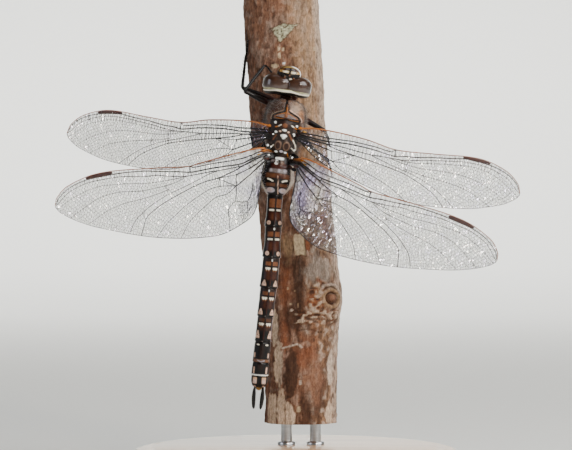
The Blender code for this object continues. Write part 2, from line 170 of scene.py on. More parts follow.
INK = {name: linear(code) for name, code in {
    "black": "#0c0807", "brown": "#6d4229", "red_brown": "#3a160d", "dark_brown": "#2b1811",
    "cream": "#efe6d2", "pink_cream": "#cda892", "lilac": "#a69ea6", "grey": "#776c6a",
    "olive": "#a39a70", "orange": "#a8611a", "amber": "#b98a45", "shoulder": "#6b5243",
    "tan": "#a58b74", "chitin_white": "#f4f4ee", "eye_top": "#331b0b", "eye_low": "#7f7350",
    "eye_rim": "#c9c39a", "frons": "#a38549", "vein_brown": "#2a1810",
    "vein_pink": "#94583c", "stigma": "#3a170f",
    "bark_red": "#7d5742", "bark_tan": "#94775a", "bark_pale": "#b9a593", "bark_dark": "#3d2619",
    "bark_orange": "#77452c", "bark_cream": "#b39d7e", "bark_white": "#c4ab92",
    "bark_grey": "#85776c", "lichen": "#a9a688",
}.items()}


# ---- shaping helpers ----
def ramp(value, low, high):
    """0 below low, 1 above high, smooth between."""
    part = min(1.0, max(0.0, (value - low) / (high - low)))
    return part * part * (3 - 2 * part)


def window(value, low, high, soft=0.08):
    """1 between low and high, with soft ends."""
    return ramp(value, low - soft, low + soft) * (1 - ramp(value, high - soft, high + soft))


def spot(across, along, centre, size, soft=0.18):
    """1 inside an oval mark, 0 outside."""
    reach = hypot((across - centre[0]) / size[0], (along - centre[1]) / size[1])
    return 1 - ramp(reach, 1 - soft, 1 + soft)


def bump_at(value, middle, width):
    """1 at the middle, falling away smoothly to each side."""
    return exp(-(((value - middle) / width) ** 2))


def stroke(across, along, points, width, soft=0.06):
    """1 within a line of a width drawn through points."""
    here = Vector((across, along))
    nearest = 1e9
    for start, end in zip(points, points[1:]):
        first = Vector(start)
        run = Vector(end) - first
        part = min(1.0, max(0.0, (here - first).dot(run) / run.length_squared))
        nearest = min(nearest, (here - first - run * part).length)
    return 1 - ramp(nearest, width / 2 - soft, width / 2 + soft)


def inside(across, along, corners):
    """Distance inside an outline whose corners turn to the left."""
    nearest = 1e9
    for (x0, y0), (x1, y1) in zip(corners, corners[1:] + corners[:1]):
        cross = (x1 - x0) * (along - y0) - (y1 - y0) * (across - x0)
        nearest = min(nearest, cross / hypot(x1 - x0, y1 - y0))
    return nearest


def painted(base, *marks):
    """Lay (colour name, cover) marks over a colour in turn."""
    for name, cover in marks:
        base = base.lerp(INK[name], min(1.0, max(0.0, cover)))
    return base


def wander(point, size, seed=0.0):
    """Smooth noise from -1 to 1 with features of a size in millimetres."""
    return noise.noise(point / size + Vector((seed, -seed, seed)))


def curve_value(points, t):
    """Value at t on a smooth curve through (t, value) pairs."""
    last = len(points) - 2
    i = next((k for k in range(last + 1) if t <= points[k + 1][0]), last)
    (t0, v0), (t1, v1) = points[i], points[i + 1]
    before = points[max(i - 1, 0)]
    after = points[min(i + 2, last + 1)]
    slope0 = (v1 - before[1]) / (t1 - before[0])
    slope1 = (after[1] - v0) / (after[0] - t0)
    span = t1 - t0
    u = (t - t0) / span
    ease_in = u * (1 - u) ** 2
    ease_out = u * u * (1 - u)
    blend = u * u * (3 - 2 * u)
    return v0 + (v1 - v0) * blend + span * (slope0 * ease_in - slope1 * ease_out)


def oval(centre, sideways, up, half_width, rise, drop, sides, power=2.0):
    """Points round a rounded section; rise and drop are its heights over and under the centre."""
    points = []
    for k in range(sides):
        angle = 2 * pi * (k + 0.5) / sides
        across = copysign(abs(cos(angle)) ** (2 / power), cos(angle))
        along = copysign(abs(sin(angle)) ** (2 / power), sin(angle))
        height = rise if along > 0 else drop
        points.append(centre + sideways * (half_width * across) + up * (height * along))
    return points


def frame_along(direction, up_hint=Vector((0, -1, 0))):
    """Directions to the left and up, square to a direction, for one who looks along it."""
    if abs(direction.normalized().dot(up_hint)) > 0.98:
        up_hint = Vector((0, 0, 1))
    left = up_hint.cross(direction).normalized()
    up = direction.cross(left).normalized()
    return left, up


def skin(rings, tints=None):
    """A closed body drawn through rings of points on one grid, with a colour at each point."""
    sides, last = len(rings[0]), len(rings) - 1
    bm = bmesh.new()
    bmesh.ops.create_grid(bm, x_segments=sides, y_segments=last, size=1.0)
    layer = bm.verts.layers.float_color.new("tint")
    placed = {}
    for vert in bm.verts:
        place = (round((vert.co.x + 1) / 2 * sides), round((vert.co.y + 1) / 2 * last))
        placed[place] = vert
    for (column, row), vert in placed.items():
        vert.co = rings[row][column % sides]
        if tints:
            vert[layer] = (*tints[row][column % sides], 1.0)
    seam = {placed[(sides, row)]: placed[(0, row)] for row in range(last + 1)}
    bmesh.ops.weld_verts(bm, targetmap=seam)
    bmesh.ops.holes_fill(bm, edges=[e for e in bm.edges if e.is_boundary], sides=0)
    bmesh.ops.recalc_face_normals(bm, faces=bm.faces)
    return bm


def loft(count, section, first=0):
    """A closed body through sections; section(i) gives the points and the colours of one."""
    rings, tints = zip(*(section(i) for i in range(first, count + 1)))
    return skin(rings, tints)


def tube(points, radii, sides, tint=None):
    """A closed tube through points, with a radius at each."""
    rings = []
    for i, point in enumerate(points):
        ahead = points[min(i + 1, len(points) - 1)]
        behind = points[max(i - 1, 0)]
        left, up = frame_along((ahead - behind).normalized())
        rings.append(oval(point, left, up, radii[i], radii[i], radii[i], sides))
    return skin(rings, [[tint] * sides] * len(rings) if tint else None)


def join(parts):
    """One mesh from several closed ones."""
    whole = bmesh.new()
    whole.verts.layers.float_color.new("tint")
    for part in parts:
        mesh = bpy.data.meshes.new("joined")
        part.to_mesh(mesh)
        part.free()
        whole.from_mesh(mesh)
        bpy.data.meshes.remove(mesh)
    return whole


def tint_points(bm, colour_at):
    """Give every point of a mesh the colour of its place."""
    layer = bm.verts.layers.float_color.get("tint") or bm.verts.layers.float_color.new("tint")
    for vert in bm.verts:
        vert[layer] = (*colour_at(vert.co), 1.0)
    return bm


def ball(centre, radius, tint):
    """A small ball in one colour."""
    bm = bmesh.new()
    bmesh.ops.create_uvsphere(bm, u_segments=20, v_segments=12, radius=radius)
    bmesh.ops.translate(bm, vec=centre, verts=bm.verts)
    return tint_points(bm, lambda co: tint)


def finish_piece(name, bm, material, replaced=(), sharp=50.0):
    """Turn a millimetre mesh into a finished piece of the model."""
    bmesh.ops.scale(bm, vec=(MM, MM, MM), verts=bm.verts)
    mesh = bpy.data.meshes.new(name)
    bm.to_mesh(mesh)
    bm.free()
    mesh.shade_smooth()
    mesh.set_sharp_from_angle(angle=radians(sharp))
    mesh.materials.append(material)
    piece = bpy.data.objects.new(name, mesh)
    bpy.context.scene.collection.objects.link(piece)
    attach(piece, "root")
    if replaced:
        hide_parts(*replaced)
    return piece


# ---- material helpers ----
def plug(tree, target, inputs):
    """Set a node's inputs; each is a value or a (node, output name) to link from."""
    for name, value in inputs.items():
        if isinstance(value, tuple) and isinstance(value[0], bpy.types.Node):
            tree.links.new(value[0].outputs[value[1]], target.inputs[name])
        else:
            target.inputs[name].default_value = value


def node(tree, kind, inputs=None, **settings):
    """Add a node with its settings and inputs."""
    made = tree.nodes.new("ShaderNode" + kind)
    for name, value in settings.items():
        setattr(made, name, value)
    plug(tree, made, inputs or {})
    return made


def set_stops(hues, *stops):
    """Places and colours of a colour ramp's two ends."""
    for end, (position, code) in zip(hues.color_ramp.elements, stops):
        end.position = position
        end.color = (*linear(code), 1)


def new_material(name, roughness, **sockets):
    """A material with its shader's plain sockets set."""
    material = bpy.data.materials.new(name)
    material.use_nodes = True
    tree = material.node_tree
    shader = tree.nodes["Principled BSDF"]
    sockets = {socket.replace("_", " "): value for socket, value in sockets.items()}
    plug(tree, shader, {"Roughness": roughness, **sockets})
    return material, tree, shader


def mottle(tree, shader, place, attribute, size, strength):
    """Base colour from an attribute, made lighter and darker in patches of a size."""
    tint = node(tree, "Attribute", attribute_name=attribute)
    patches = node(tree, "TexNoise", {"Vector": place, "Scale": 1 / (size * MM), "Detail": 4.0})
    level = node(tree, "MapRange", {"Value": (patches, "Fac"), "From Min": 0.3, "From Max": 0.7,
                                    "To Min": 1 - strength, "To Max": 1 + strength})
    shaded = node(tree, "VectorMath", {0: (tint, "Color"), "Scale": (level, "Result")},
                  operation="SCALE")
    plug(tree, shader, {"Base Color": (shaded, "Vector")})
    return patches


def relief(tree, shader, height, depth, under=None):
    """Bump of a depth in millimetres."""
    inputs = {"Height": height, "Distance": depth * MM, "Strength": 1.0}
    if under:
        inputs["Normal"] = (under, "Normal")
    bump = node(tree, "Bump", inputs)
    plug(tree, shader, {"Normal": (bump, "Normal")})
    return bump


def stretched(tree, sizes):
    """Object coordinates divided by a pattern's size along each axis, in millimetres."""
    place = node(tree, "TexCoord")
    return node(tree, "Mapping", {"Vector": (place, "Object"),
                                  "Scale": [1 / (size * MM) for size in sizes]})


def cuticle_material(name, roughness, sheen_size, coat=0.15):
    """Insect cuticle, chitin hardened in layers: dark and waxy, finely wrinkled, so its gloss
    breaks into short streaks and its brown marks are never quite even."""
    material, tree, shader = new_material(name, roughness, IOR=1.56, Coat_Weight=coat,
                                          Coat_Roughness=0.12, Specular_IOR_Level=0.16)
    place = stretched(tree, (sheen_size, sheen_size, sheen_size * 0.6))
    mottle(tree, shader, (node(tree, "TexCoord"), "Object"), "tint", 0.5, 0.22)
    wrinkles = node(tree, "TexNoise", {"Vector": (place, "Vector"), "Scale": 1.0, "Detail": 6.0,
                                       "Roughness": 0.62})
    relief(tree, shader, (wrinkles, "Fac"), 0.02)
    return material


def eye_material():
    """Compound eye, thousands of clear lens facets over brown pigment: a wet gloss with a fine
    grain. Real facets are 0.04 mm across and drawn three times as coarse so that they show."""
    material, tree, shader = new_material("compound_eye_facets", 0.34, IOR=1.5, Coat_Weight=1.0,
                                          Specular_IOR_Level=0.15, Coat_Roughness=0.17,
                                          Coat_IOR=1.6)
    place = node(tree, "TexCoord")
    mottle(tree, shader, (place, "Object"), "tint", 0.9, 0.22)
    facets = node(tree, "TexVoronoi", {"Vector": (place, "Object"), "Scale": 1 / (0.12 * MM)},
                  feature="F1")
    relief(tree, shader, (facets, "Distance"), -0.006)
    return material


def hair_material():
    """Fine body hair, solid chitin bristles: soft and dull with a pale silky edge."""
    material, tree, shader = new_material("body_hair", 0.6, IOR=1.55, Sheen_Weight=0.4,
                                          Sheen_Roughness=0.5)
    mottle(tree, shader, (node(tree, "TexCoord"), "Object"), "tint", 0.8, 0.25)
    return material


def membrane_material():
    """Wing membrane, two clear chitin films 2 microns thick: almost nothing but a cool sheen
    where a cell catches the light, with a trace of thin-film violet."""
    material, tree, shader = new_material("wing_membrane", 0.15, Metallic=0.85, IOR=1.56)
    place = node(tree, "TexCoord")
    # the membrane's own faint veil, plus a painted sky reflection near the hindwing root
    veil_and_sheen = node(tree, "Attribute", attribute_name="veil_and_sheen")
    dulled = node(tree, "MapRange", {"Value": (veil_and_sheen, "Fac"), "From Min": 0.12, "From Max": 0.3,
                                     "To Min": 0.15, "To Max": 0.5})
    film = node(tree, "TexNoise", {"Vector": (place, "Object"), "Scale": 1 / (3.0 * MM)})
    hues = node(tree, "ValToRGB", {"Fac": (film, "Fac")})
    set_stops(hues, (0.35, "#aaa4c8"), (0.65, "#e6e6e2"))
    plug(tree, shader, {"Roughness": (dulled, "Result"), "Base Color": (hues, "Color")})
    ripples = node(tree, "TexNoise", {"Vector": (place, "Object"), "Scale": 1 / (0.35 * MM),
                                      "Detail": 2.0})
    relief(tree, shader, (ripples, "Fac"), 0.004)
    clear = node(tree, "BsdfTransparent", {"Color": (0.97, 0.97, 0.96, 1)})
    mix = node(tree, "MixShader", {"Fac": (veil_and_sheen, "Fac"), 1: (clear, "BSDF"), 2: (shader, "BSDF")})
    plug(tree, tree.nodes["Material Output"], {"Surface": (mix, "Shader")})
    return material


def vein_material():
    """Wing veins, hollow chitin tubes: satin, from orange and brown to black."""
    material, tree, shader = new_material("wing_vein", 0.38, IOR=1.56, Coat_Weight=0.15,
                                          Coat_Roughness=0.2)
    mottle(tree, shader, (node(tree, "TexCoord"), "Object"), "tint", 0.4, 0.25)
    return material


def bark_material():
    """Weathered bark on a dead branch, part peeled: dry and dull, streaked along the grain, with
    pores and torn fibres that only rough relief gives."""
    material, tree, shader = new_material("weathered_bark", 0.85, IOR=1.45, Specular_IOR_Level=0.3)
    tint = node(tree, "Attribute", attribute_name="tint")
    streak_place = stretched(tree, (0.35, 0.35, 2.6))
    streaks = node(tree, "TexNoise", {"Vector": (streak_place, "Vector"), "Scale": 1.0,
                                      "Detail": 7.0, "Roughness": 0.65})
    speck_place = stretched(tree, (0.3, 0.3, 0.55))
    specks = node(tree, "TexNoise", {"Vector": (speck_place, "Vector"), "Scale": 1.0,
                                     "Detail": 5.0, "Roughness": 0.7})
    streak_level = node(tree, "MapRange", {"Value": (streaks, "Fac"), "From Min": 0.3,
                                           "From Max": 0.7, "To Min": 0.66, "To Max": 1.28})
    speck_level = node(tree, "MapRange", {"Value": (specks, "Fac"), "From Min": 0.3,
                                          "From Max": 0.72, "To Min": 0.5, "To Max": 1.46})
    level = node(tree, "Math", {0: (streak_level, "Result"), 1: (speck_level, "Result")},
                 operation="MULTIPLY")
    shaded = node(tree, "VectorMath", {0: (tint, "Color"), "Scale": (level, "Value")},
                  operation="SCALE")
    plug(tree, shader, {"Base Color": (shaded, "Vector")})
    rough = node(tree, "MapRange", {"Value": (specks, "Fac"), "To Min": 0.72, "To Max": 0.95})
    plug(tree, shader, {"Roughness": (rough, "Result")})
    coarse = relief(tree, shader, (streaks, "Fac"), 0.16)
    relief(tree, shader, (specks, "Fac"), 0.09, under=coarse)
    return material


def cut_wood_material():
    """Sawn end of the branch: pale dry wood with growth rings and a few radial checks."""
    material, tree, shader = new_material("sawn_branch_end", 0.75, IOR=1.5, Specular_IOR_Level=0.3)
    place = node(tree, "TexCoord")
    centred = node(tree, "Mapping", {"Vector": (place, "Object"),
                                     "Location": (2.3 * MM, 0.4 * MM, 0)})
    rings = node(tree, "TexWave", {"Vector": (centred, "Vector"), "Scale": 0.25 / MM,
                                   "Distortion": 1.2, "Detail": 2.0, "Detail Scale": 1.5},
                 wave_type="RINGS", rings_direction="Z")
    colours = node(tree, "ValToRGB", {"Fac": (rings, "Fac")})
    set_stops(colours, (0, "#a5805c"), (1, "#d6bd98"))
    plug(tree, shader, {"Base Color": (colours, "Color")})
    relief(tree, shader, (rings, "Fac"), 0.05)
    return material


def maple_material():
    """Turned maple under satin varnish: pale warm wood with a fine grain, short darker flecks
    along it and a soft even gloss."""
    material, tree, shader = new_material("varnished_maple", 0.34, IOR=1.5, Coat_Weight=0.5,
                                          Coat_Roughness=0.2, Coat_IOR=1.5)
    grain_place = stretched(tree, (26.0, 1.6, 3.0))
    grain = node(tree, "TexNoise", {"Vector": (grain_place, "Vector"), "Scale": 1.0,
                                    "Detail": 5.0, "Distortion": 0.6})
    fleck_place = stretched(tree, (2.2, 0.22, 0.4))
    flecks = node(tree, "TexNoise", {"Vector": (fleck_place, "Vector"), "Scale": 1.0,
                                     "Detail": 2.0})
    wood = node(tree, "ValToRGB", {"Fac": (grain, "Fac")})
    set_stops(wood, (0.32, "#b78a60"), (0.7, "#d9b489"))
    fleck_level = node(tree, "MapRange", {"Value": (flecks, "Fac"), "From Min": 0.62,
                                          "From Max": 0.74, "To Min": 1.0, "To Max": 0.72})
    shaded = node(tree, "VectorMath", {0: (wood, "Color"), "Scale": (fleck_level, "Result")},
                  operation="SCALE")
    plug(tree, shader, {"Base Color": (shaded, "Vector")})
    relief(tree, shader, (flecks, "Fac"), 0.015)
    return material


def steel_material():
    """Brushed stainless steel rod: grey metal with fine turned lines round it."""
    material, tree, shader = new_material("brushed_steel", 0.28, Metallic=1.0)
    place = stretched(tree, (5.0, 5.0, 0.12))
    lines = node(tree, "TexNoise", {"Vector": (place, "Vector"), "Scale": 1.0, "Detail": 3.0})
    greys = node(tree, "ValToRGB", {"Fac": (lines, "Fac")})
    set_stops(greys, (0, "#a8aaac"), (1, "#cfd1d2"))
    plug(tree, shader, {"Base Color": (greys, "Color")})
    relief(tree, shader, (lines, "Fac"), 0.01)
    return material


# ---- branch ----
def branch_axis(height):
    """Middle of the branch at a height."""
    return Vector((curve_value(BRANCH_AXIS, height), 0.0, height))


def bark_radius(height, bearing):
    """Radius of the branch, with the knot's swelling."""
    turn = (bearing - radians(KNOT_BEARING) + pi) % (2 * pi) - pi
    base = curve_value(BRANCH_RADIUS, height)
    distance = sqrt((height - KNOT_HEIGHT) ** 2 + (turn * base) ** 2)
    return base + KNOT_RISE * bump_at(distance, 0, KNOT_SPREAD)


def bark_point(height, bearing, clearance=0.0):
    """A point on the bark, or over it; the bearing runs from the front towards +X."""
    reach = bark_radius(height, bearing) + clearance
    return branch_axis(height) + Vector((sin(bearing), -cos(bearing), 0)) * reach


# stains, peeled strips and specks on the bark: colour, depth, bearing, height, half width, half height
BARK_MARKS = [
    ("bark_orange", 0.0, -27, 33.2, 1.2, 4.6), ("bark_orange", 0.0, -31, 25.2, 0.8, 3.4),
    ("bark_dark", 0.0, -22, 38.6, 0.9, 1.7), ("bark_dark", 0.0, -2, 37.6, 1.6, 1.5),
    ("bark_dark", 0.0, -7, 33.4, 0.8, 5.6), ("bark_dark", 0.0, -15, 28.4, 1.9, 3.4),
    ("bark_grey", 0.0, 28, 36.6, 2.9, 3.4), ("bark_orange", 0.0, 17, 31.4, 1.6, 1.7),
    ("bark_tan", 0.0, -17, 40.9, 1.3, 2.9), ("bark_orange", 0.05, 14, 41.1, 0.4, 1.6),
    ("bark_white", 0.05, -49, 26.0, 0.9, 3.8), ("bark_white", 0.06, -41, 19.8, 1.1, 4.2),
    ("bark_orange", 0.0, -43, 15.8, 0.35, 0.7), ("bark_dark", -0.05, -16, 18.3, 1.45, 4.4),
    ("bark_orange", 0.0, 8, 21.2, 1.8, 2.7), ("bark_dark", 0.0, 9, 11.5, 1.9, 5.0),
    ("bark_dark", 0.0, 30, 15.0, 1.3, 3.6), ("bark_red", 0.0, 22, 17.0, 2.2, 5.0),
    ("bark_orange", 0.0, -72, 15.4, 0.8, 2.2),
    ("bark_white", 0.05, -57, 11.0, 1.6, 3.8), ("bark_white", 0.12, -34, 11.8, 1.2, 4.3),
    ("bark_white", 0.10, -20, 10.2, 1.1, 2.9), ("bark_cream", 0.08, -4, 11.8, 0.45, 0.6),
    ("bark_white", 0.05, 53, 10.8, 1.2, 2.6), ("bark_pale", 0.03, 54, 19.0, 0.9, 3.4),
    ("bark_cream", 0.04, -22, 33.3, 0.22, 0.3), ("bark_tan", 0.04, -12, 32.9, 0.2, 0.2),
    ("bark_cream", 0.04, -20, 30.5, 0.24, 0.2), ("bark_tan", 0.04, -8, 30.3, 0.15, 0.3),
    ("bark_pale", 0.04, -19, 29.4, 0.3, 0.2), ("bark_pale", 0.04, -1, 16.5, 0.25, 0.5),
    ("bark_cream", 0.05, -8, 76.0, 0.25, 0.5), ("bark_cream", 0.05, -1, 75.8, 0.2, 0.4),
    ("bark_cream", 0.05, -7, 74.8, 0.25, 0.6), ("bark_cream", 0.05, -15, 72.9, 0.55, 0.3),
    ("chitin_white", 0.05, -1, 73.4, 0.24, 0.2), ("bark_cream", -0.2, 55, 76.1, 0.4, 0.5),
    ("bark_dark", -0.05, -75, 76.0, 0.9, 5.0), ("bark_white", 0.08, 150, 50.0, 1.6, 9.0),
    ("bark_cream", 0.10, 205, 26.0, 1.1, 6.0), ("bark_dark", -0.06, 170, 70.0, 1.3, 6.0),
    ("bark_orange", 0.0, 230, 58.0, 1.5, 7.0), ("bark_orange", 0.0, 128, 20.0, 1.4, 6.0),
    ("bark_cream", 0.08, 255, 43.0, 0.8, 3.0),
]
# two peeled patches with straight edges, as corners (across the front, height)
LICHEN_PATCH = [(-2.0, 79.5), (-0.6, 77.0), (2.8, 80.3), (-0.25, 80.3)]
BARE_PATCH = [(-0.8, 39.1), (1.05, 39.2), (1.1, 43.1), (-0.75, 43.0)]


def grain(place, stretch, size, seed):
    """Noise on the bark, drawn out along the branch where stretch is under 1."""
    return wander(Vector((place.x, place.y, place.z * stretch)), size, seed)


def bark_surface(height, bearing):
    """Colour of the bark and its relief in millimetres at a height and bearing."""
    degrees_round = (bearing * 180 / pi + 180) % 360 - 180
    place = bark_point(height, bearing)
    ridges = grain(place, 0.16, 1.5, 3.0)
    fibres = grain(place, 0.16, 0.55, 9.0)
    lumps = grain(place, 0.5, 2.6, 5.0)
    flakes = abs(grain(place, 0.45, 0.9, 14.0))
    lift = 0.2 * ridges + 0.12 * fibres + 0.24 * lumps - 0.16 * flakes - 0.07

    upper = ramp(height, 44, 52)
    # painted light: the bark is made tan towards the right, the side the light falls from, and on the
    # lower part its pale and dark patches are stronger there
    painted_light_right = ramp(degrees_round + 12 * lumps, -10, 35)
    tint = INK["bark_red"].lerp(INK["bark_tan"], painted_light_right * (0.45 + 0.4 * upper))
    stain = grain(place, 0.35, 3.2, 21.0)
    blotch = grain(place, 0.6, 1.4, 33.0)
    lower = 1 - upper
    patches = grain(place, 0.7, 0.85, 71.0)
    flecks = grain(place, 0.55, 0.34, 83.0)
    tint = painted(tint,
                   ("bark_dark", (0.12 + 0.5 * lower) * ramp(stain + 0.3 * blotch, 0.05, 0.6)),
                   ("bark_orange", (0.15 + 0.4 * lower) * ramp(-stain - 0.4 * blotch, 0.1, 0.5)),
                   # painted highlight: a pale band down the lit right edge of the branch
                   ("bark_pale", 0.6 * window(degrees_round + 12 * ridges, 58, 130, 10)),
                   ("bark_pale", 0.35 * ramp(-degrees_round + 16 * ridges, 150, 176)),
                   ("bark_grey", 0.3 * ramp(lumps, 0.1, 0.45)),
                   ("bark_dark", 0.5 * ramp(flakes, 0.3, 0.46)),
                   ("bark_pale", 0.14 * ramp(fibres, 0.2, 0.5)),
                   ("bark_pale", (0.2 + 0.4 * lower * painted_light_right) * ramp(patches, 0.14, 0.36)),
                   ("bark_dark", (0.2 + 0.45 * lower * painted_light_right) * ramp(-patches, 0.12, 0.4)),
                   ("bark_dark", 0.45 * ramp(flecks, 0.3, 0.42)))
    lift += 0.08 * ramp(patches, 0.0, 0.3) - 0.06 * ramp(flecks, 0.25, 0.42)
    ragged = 0.28 * fibres + 0.25 * wander(place, 0.7, 2.0) + 0.3 * wander(place, 2.0, 7.0)
    reach_out = bark_radius(height, bearing)
    for colour, depth, mark_bearing, mark_height, half_width, half_height in BARK_MARKS:
        if abs(height - mark_height) > 1.4 * half_height:
            continue
        turn = (degrees_round - mark_bearing + 180) % 360 - 180
        across = radians(turn) * reach_out
        if abs(across) > 1.4 * half_width:
            continue
        sideways, upwards = abs(across) / half_width, abs(height - mark_height) / half_height
        reach = max(hypot(sideways, upwards), 0.9 * max(sideways, upwards)) + ragged
        cover = 1 - ramp(reach, 0.85 if depth else 0.4, 1.05 if depth else 1.3)
        tint = painted(tint, (colour, cover * (0.9 if depth else 0.8)))
        lift -= depth * cover
        rim = window(reach, 1.0, 1.18, 0.06) * (half_width > 0.5)
        tint = painted(tint, ("bark_dark", 0.35 * rim * (depth > 0.04)))

    across = radians(degrees_round) * reach_out
    grown_over = height > 76
    if abs(across) < 4.5 and (grown_over or 38 < height < 44):
        edge = inside(across, height, LICHEN_PATCH if grown_over else BARE_PATCH) + 0.25 * fibres
        cover = ramp(edge, 0.0, 0.12)
        spots = ramp(wander(place, 0.33, 51.0), 0.12, 0.24) * grown_over
        tint = painted(tint, ("bark_dark", 0.7 * window(edge, -0.16, 0.04, 0.05)),
                       ("lichen" if grown_over else "bark_cream", cover),
                       ("bark_dark", 0.8 * cover * spots))
        lift -= cover * (0.1 + 0.08 * spots)
    if abs(across) < 6 and 15 < height < 24:
        ledge = stroke(across, height, [(-3.7, 22.6), (-0.9, 23.35), (-0.1, 22.8)], 0.3)
        ledge += 0.7 * stroke(across, height, [(-3.6, 22.4), (-3.65, 16.2)], 0.2)
        tint = painted(tint, ("bark_pale", 0.9 * ledge))
        lift += 0.15 * ledge

    across = radians((degrees_round - BUD_BEARING + 180) % 360 - 180) * reach_out
    rise = height - KNOT_HEIGHT
    distance = hypot(across, rise) / 1.6
    if distance > 7:
        return tint, lift
    angle = atan2(rise, across)
    ripple = wander(place, 1.2, 31.0)
    bud = 1 - ramp(distance, 0.44, 0.56)
    pit = bump_at(distance, 0.64, 0.13)
    collar = bump_at(distance, 0.98, 0.17)
    seam = bump_at(distance, 1.28, 0.09) * ramp(across + 0.5 * rise, -1.6, -0.4)
    second = bump_at(distance, 1.55 + 0.12 * ripple, 0.16) * ramp(across + rise, -0.9, 0.3)
    fan = window(distance, 1.1, 1.7 + 1.2 * ramp(-across, 0.5, 3.0) + 0.4 * ripple, 0.25)
    fan *= ramp(0.45 * rise - across, -0.3, 1.2)
    folds = 1.6 * wander(Vector((distance * 1.5, angle * 4.4 + 1.2 * ripple, 0.6 * ripple)), 1.0, 61.0)
    folds += 0.35 * sin(6.5 * distance + 2.5 * ripple) * ramp(rise, -0.5, 1.0)
    flaky = window(rise, -4.6, -2.1, 0.3) * window(across, -6.8, 1.8, 0.6)
    scales = grain(place, 1.9, 0.9, 41.0)
    lift += 0.3 * bud - 0.5 * pit + 0.3 * collar + 0.2 * second - 0.2 * seam
    lift += 0.2 * fan * folds + 0.3 * flaky * ramp(scales, 0.0, 0.25)
    # painted shade: the sunk pit round the bud, the seam, the troughs of the folds and the gaps between
    # the flakes are darkened, and so is the underside of the bud
    tint = painted(tint,
                   ("bark_orange", 0.8 * fan * ramp(ripple, -0.2, 0.2)),
                   ("bark_tan", 0.8 * fan * ramp(folds, 0.1, 0.3)),
                   ("bark_pale", 0.6 * fan * ramp(folds, 0.35, 0.6)),
                   ("bark_dark", 0.9 * fan * ramp(-folds, 0.2, 0.5)),
                   ("bark_dark", 0.8 * flaky * ramp(-scales, 0.0, 0.3)),
                   ("bark_orange", 0.5 * flaky * window(scales, -0.1, 0.08, 0.05)),
                   ("bark_white", 0.75 * flaky * ramp(scales, 0.14, 0.3)),
                   ("bark_tan", collar), ("bark_pale", 0.8 * second), ("bark_dark", 0.9 * seam),
                   ("bark_dark", pit), ("bark_red", bud),
                   ("bark_dark", 0.75 * bud * ramp(0.3 * across - rise, -0.1, 0.5)))
    # painted shade: the sunk crease under the knot is darkened
    crease = bump_at(height, 25.7 + 0.3 * sin(across), 0.18) * window(across, -6.5, -1.0, 1.0)
    lift -= 0.25 * crease
    tint = painted(tint, ("bark_dark", 0.6 * crease))
    return tint, lift


def build_perch(bark, sawn_wood):
    """The branch: torn and flaking bark with a knot, and two sawn ends."""
    around, count = 176, 460
    bearings = [2 * pi * k / around for k in range(around)]

    def section(i):
        height = BRANCH_BOTTOM + (BRANCH_TOP - BRANCH_BOTTOM) * i / count
        tints, lifts = zip(*(bark_surface(height, bearing) for bearing in bearings))
        return [bark_point(height, bearing, lift) for bearing, lift in zip(bearings, lifts)], tints

    branch = loft(count, section)
    ends = [face for face in branch.faces if len(face.verts) > 4]
    for face in ends:
        face.material_index = 1
        rim = bmesh.ops.inset_individual(branch, faces=[face], thickness=0.5, depth=0.0)
        for rim_face in rim["faces"]:
            rim_face.material_index = 0
    piece = finish_piece("perch_bark", branch, bark, ("perch",), sharp=60)
    piece.data.materials.append(sawn_wood)


# ---- stand ----
# the base's turned profile: radius, height
BASE_PROFILE = [
    (0, 0.0), (29.2, 0.0), (29.7, 0.35), (29.9, 1.0), (29.55, 1.6), (28.9, 1.85), (28.8, 2.1),
    (29.3, 2.35), (29.6, 2.9), (29.35, 3.6), (28.6, 4.25), (27.4, 4.6), (26.2, 4.7), (25.9, 4.62),
    (25.6, 4.68), (25.0, 4.95), (0, BASE_HEIGHT),
]


def build_stand(maple, steel):
    """Turned base with a beaded edge, and two pins up into the branch."""
    base = bmesh.new()
    points = [base.verts.new((radius, 0, height)) for radius, height in BASE_PROFILE]
    edges = [base.edges.new(pair) for pair in zip(points, points[1:])]
    bmesh.ops.spin(base, geom=points + edges, axis=(0, 0, 1), cent=(0, 0, 0), steps=128,
                   angle=2 * pi, use_merge=True)
    bmesh.ops.remove_doubles(base, verts=base.verts, dist=1e-4)
    bmesh.ops.recalc_face_normals(base, faces=base.faces)
    finish_piece("stand_turned_base", base, maple, ("stand_base",), sharp=35)
    for side, name in ((-1, "left"), (1, "right")):
        x = branch_axis(BRANCH_BOTTOM).x + side * ROD_SPREAD / 2
        low, high = BASE_HEIGHT - 0.3, BRANCH_BOTTOM + 1.0
        heights = [low, low + 0.3, low + 0.75, low + 0.9, low + 0.95, high]
        radii = [1.6, 1.6, 1.6, 1.45, ROD_RADIUS, ROD_RADIUS]
        rod = tube([Vector((x, 0, height)) for height in heights], radii, 40)
        finish_piece(f"stand_pin_{name}", rod, steel, (f"stand_rod_{name}",))


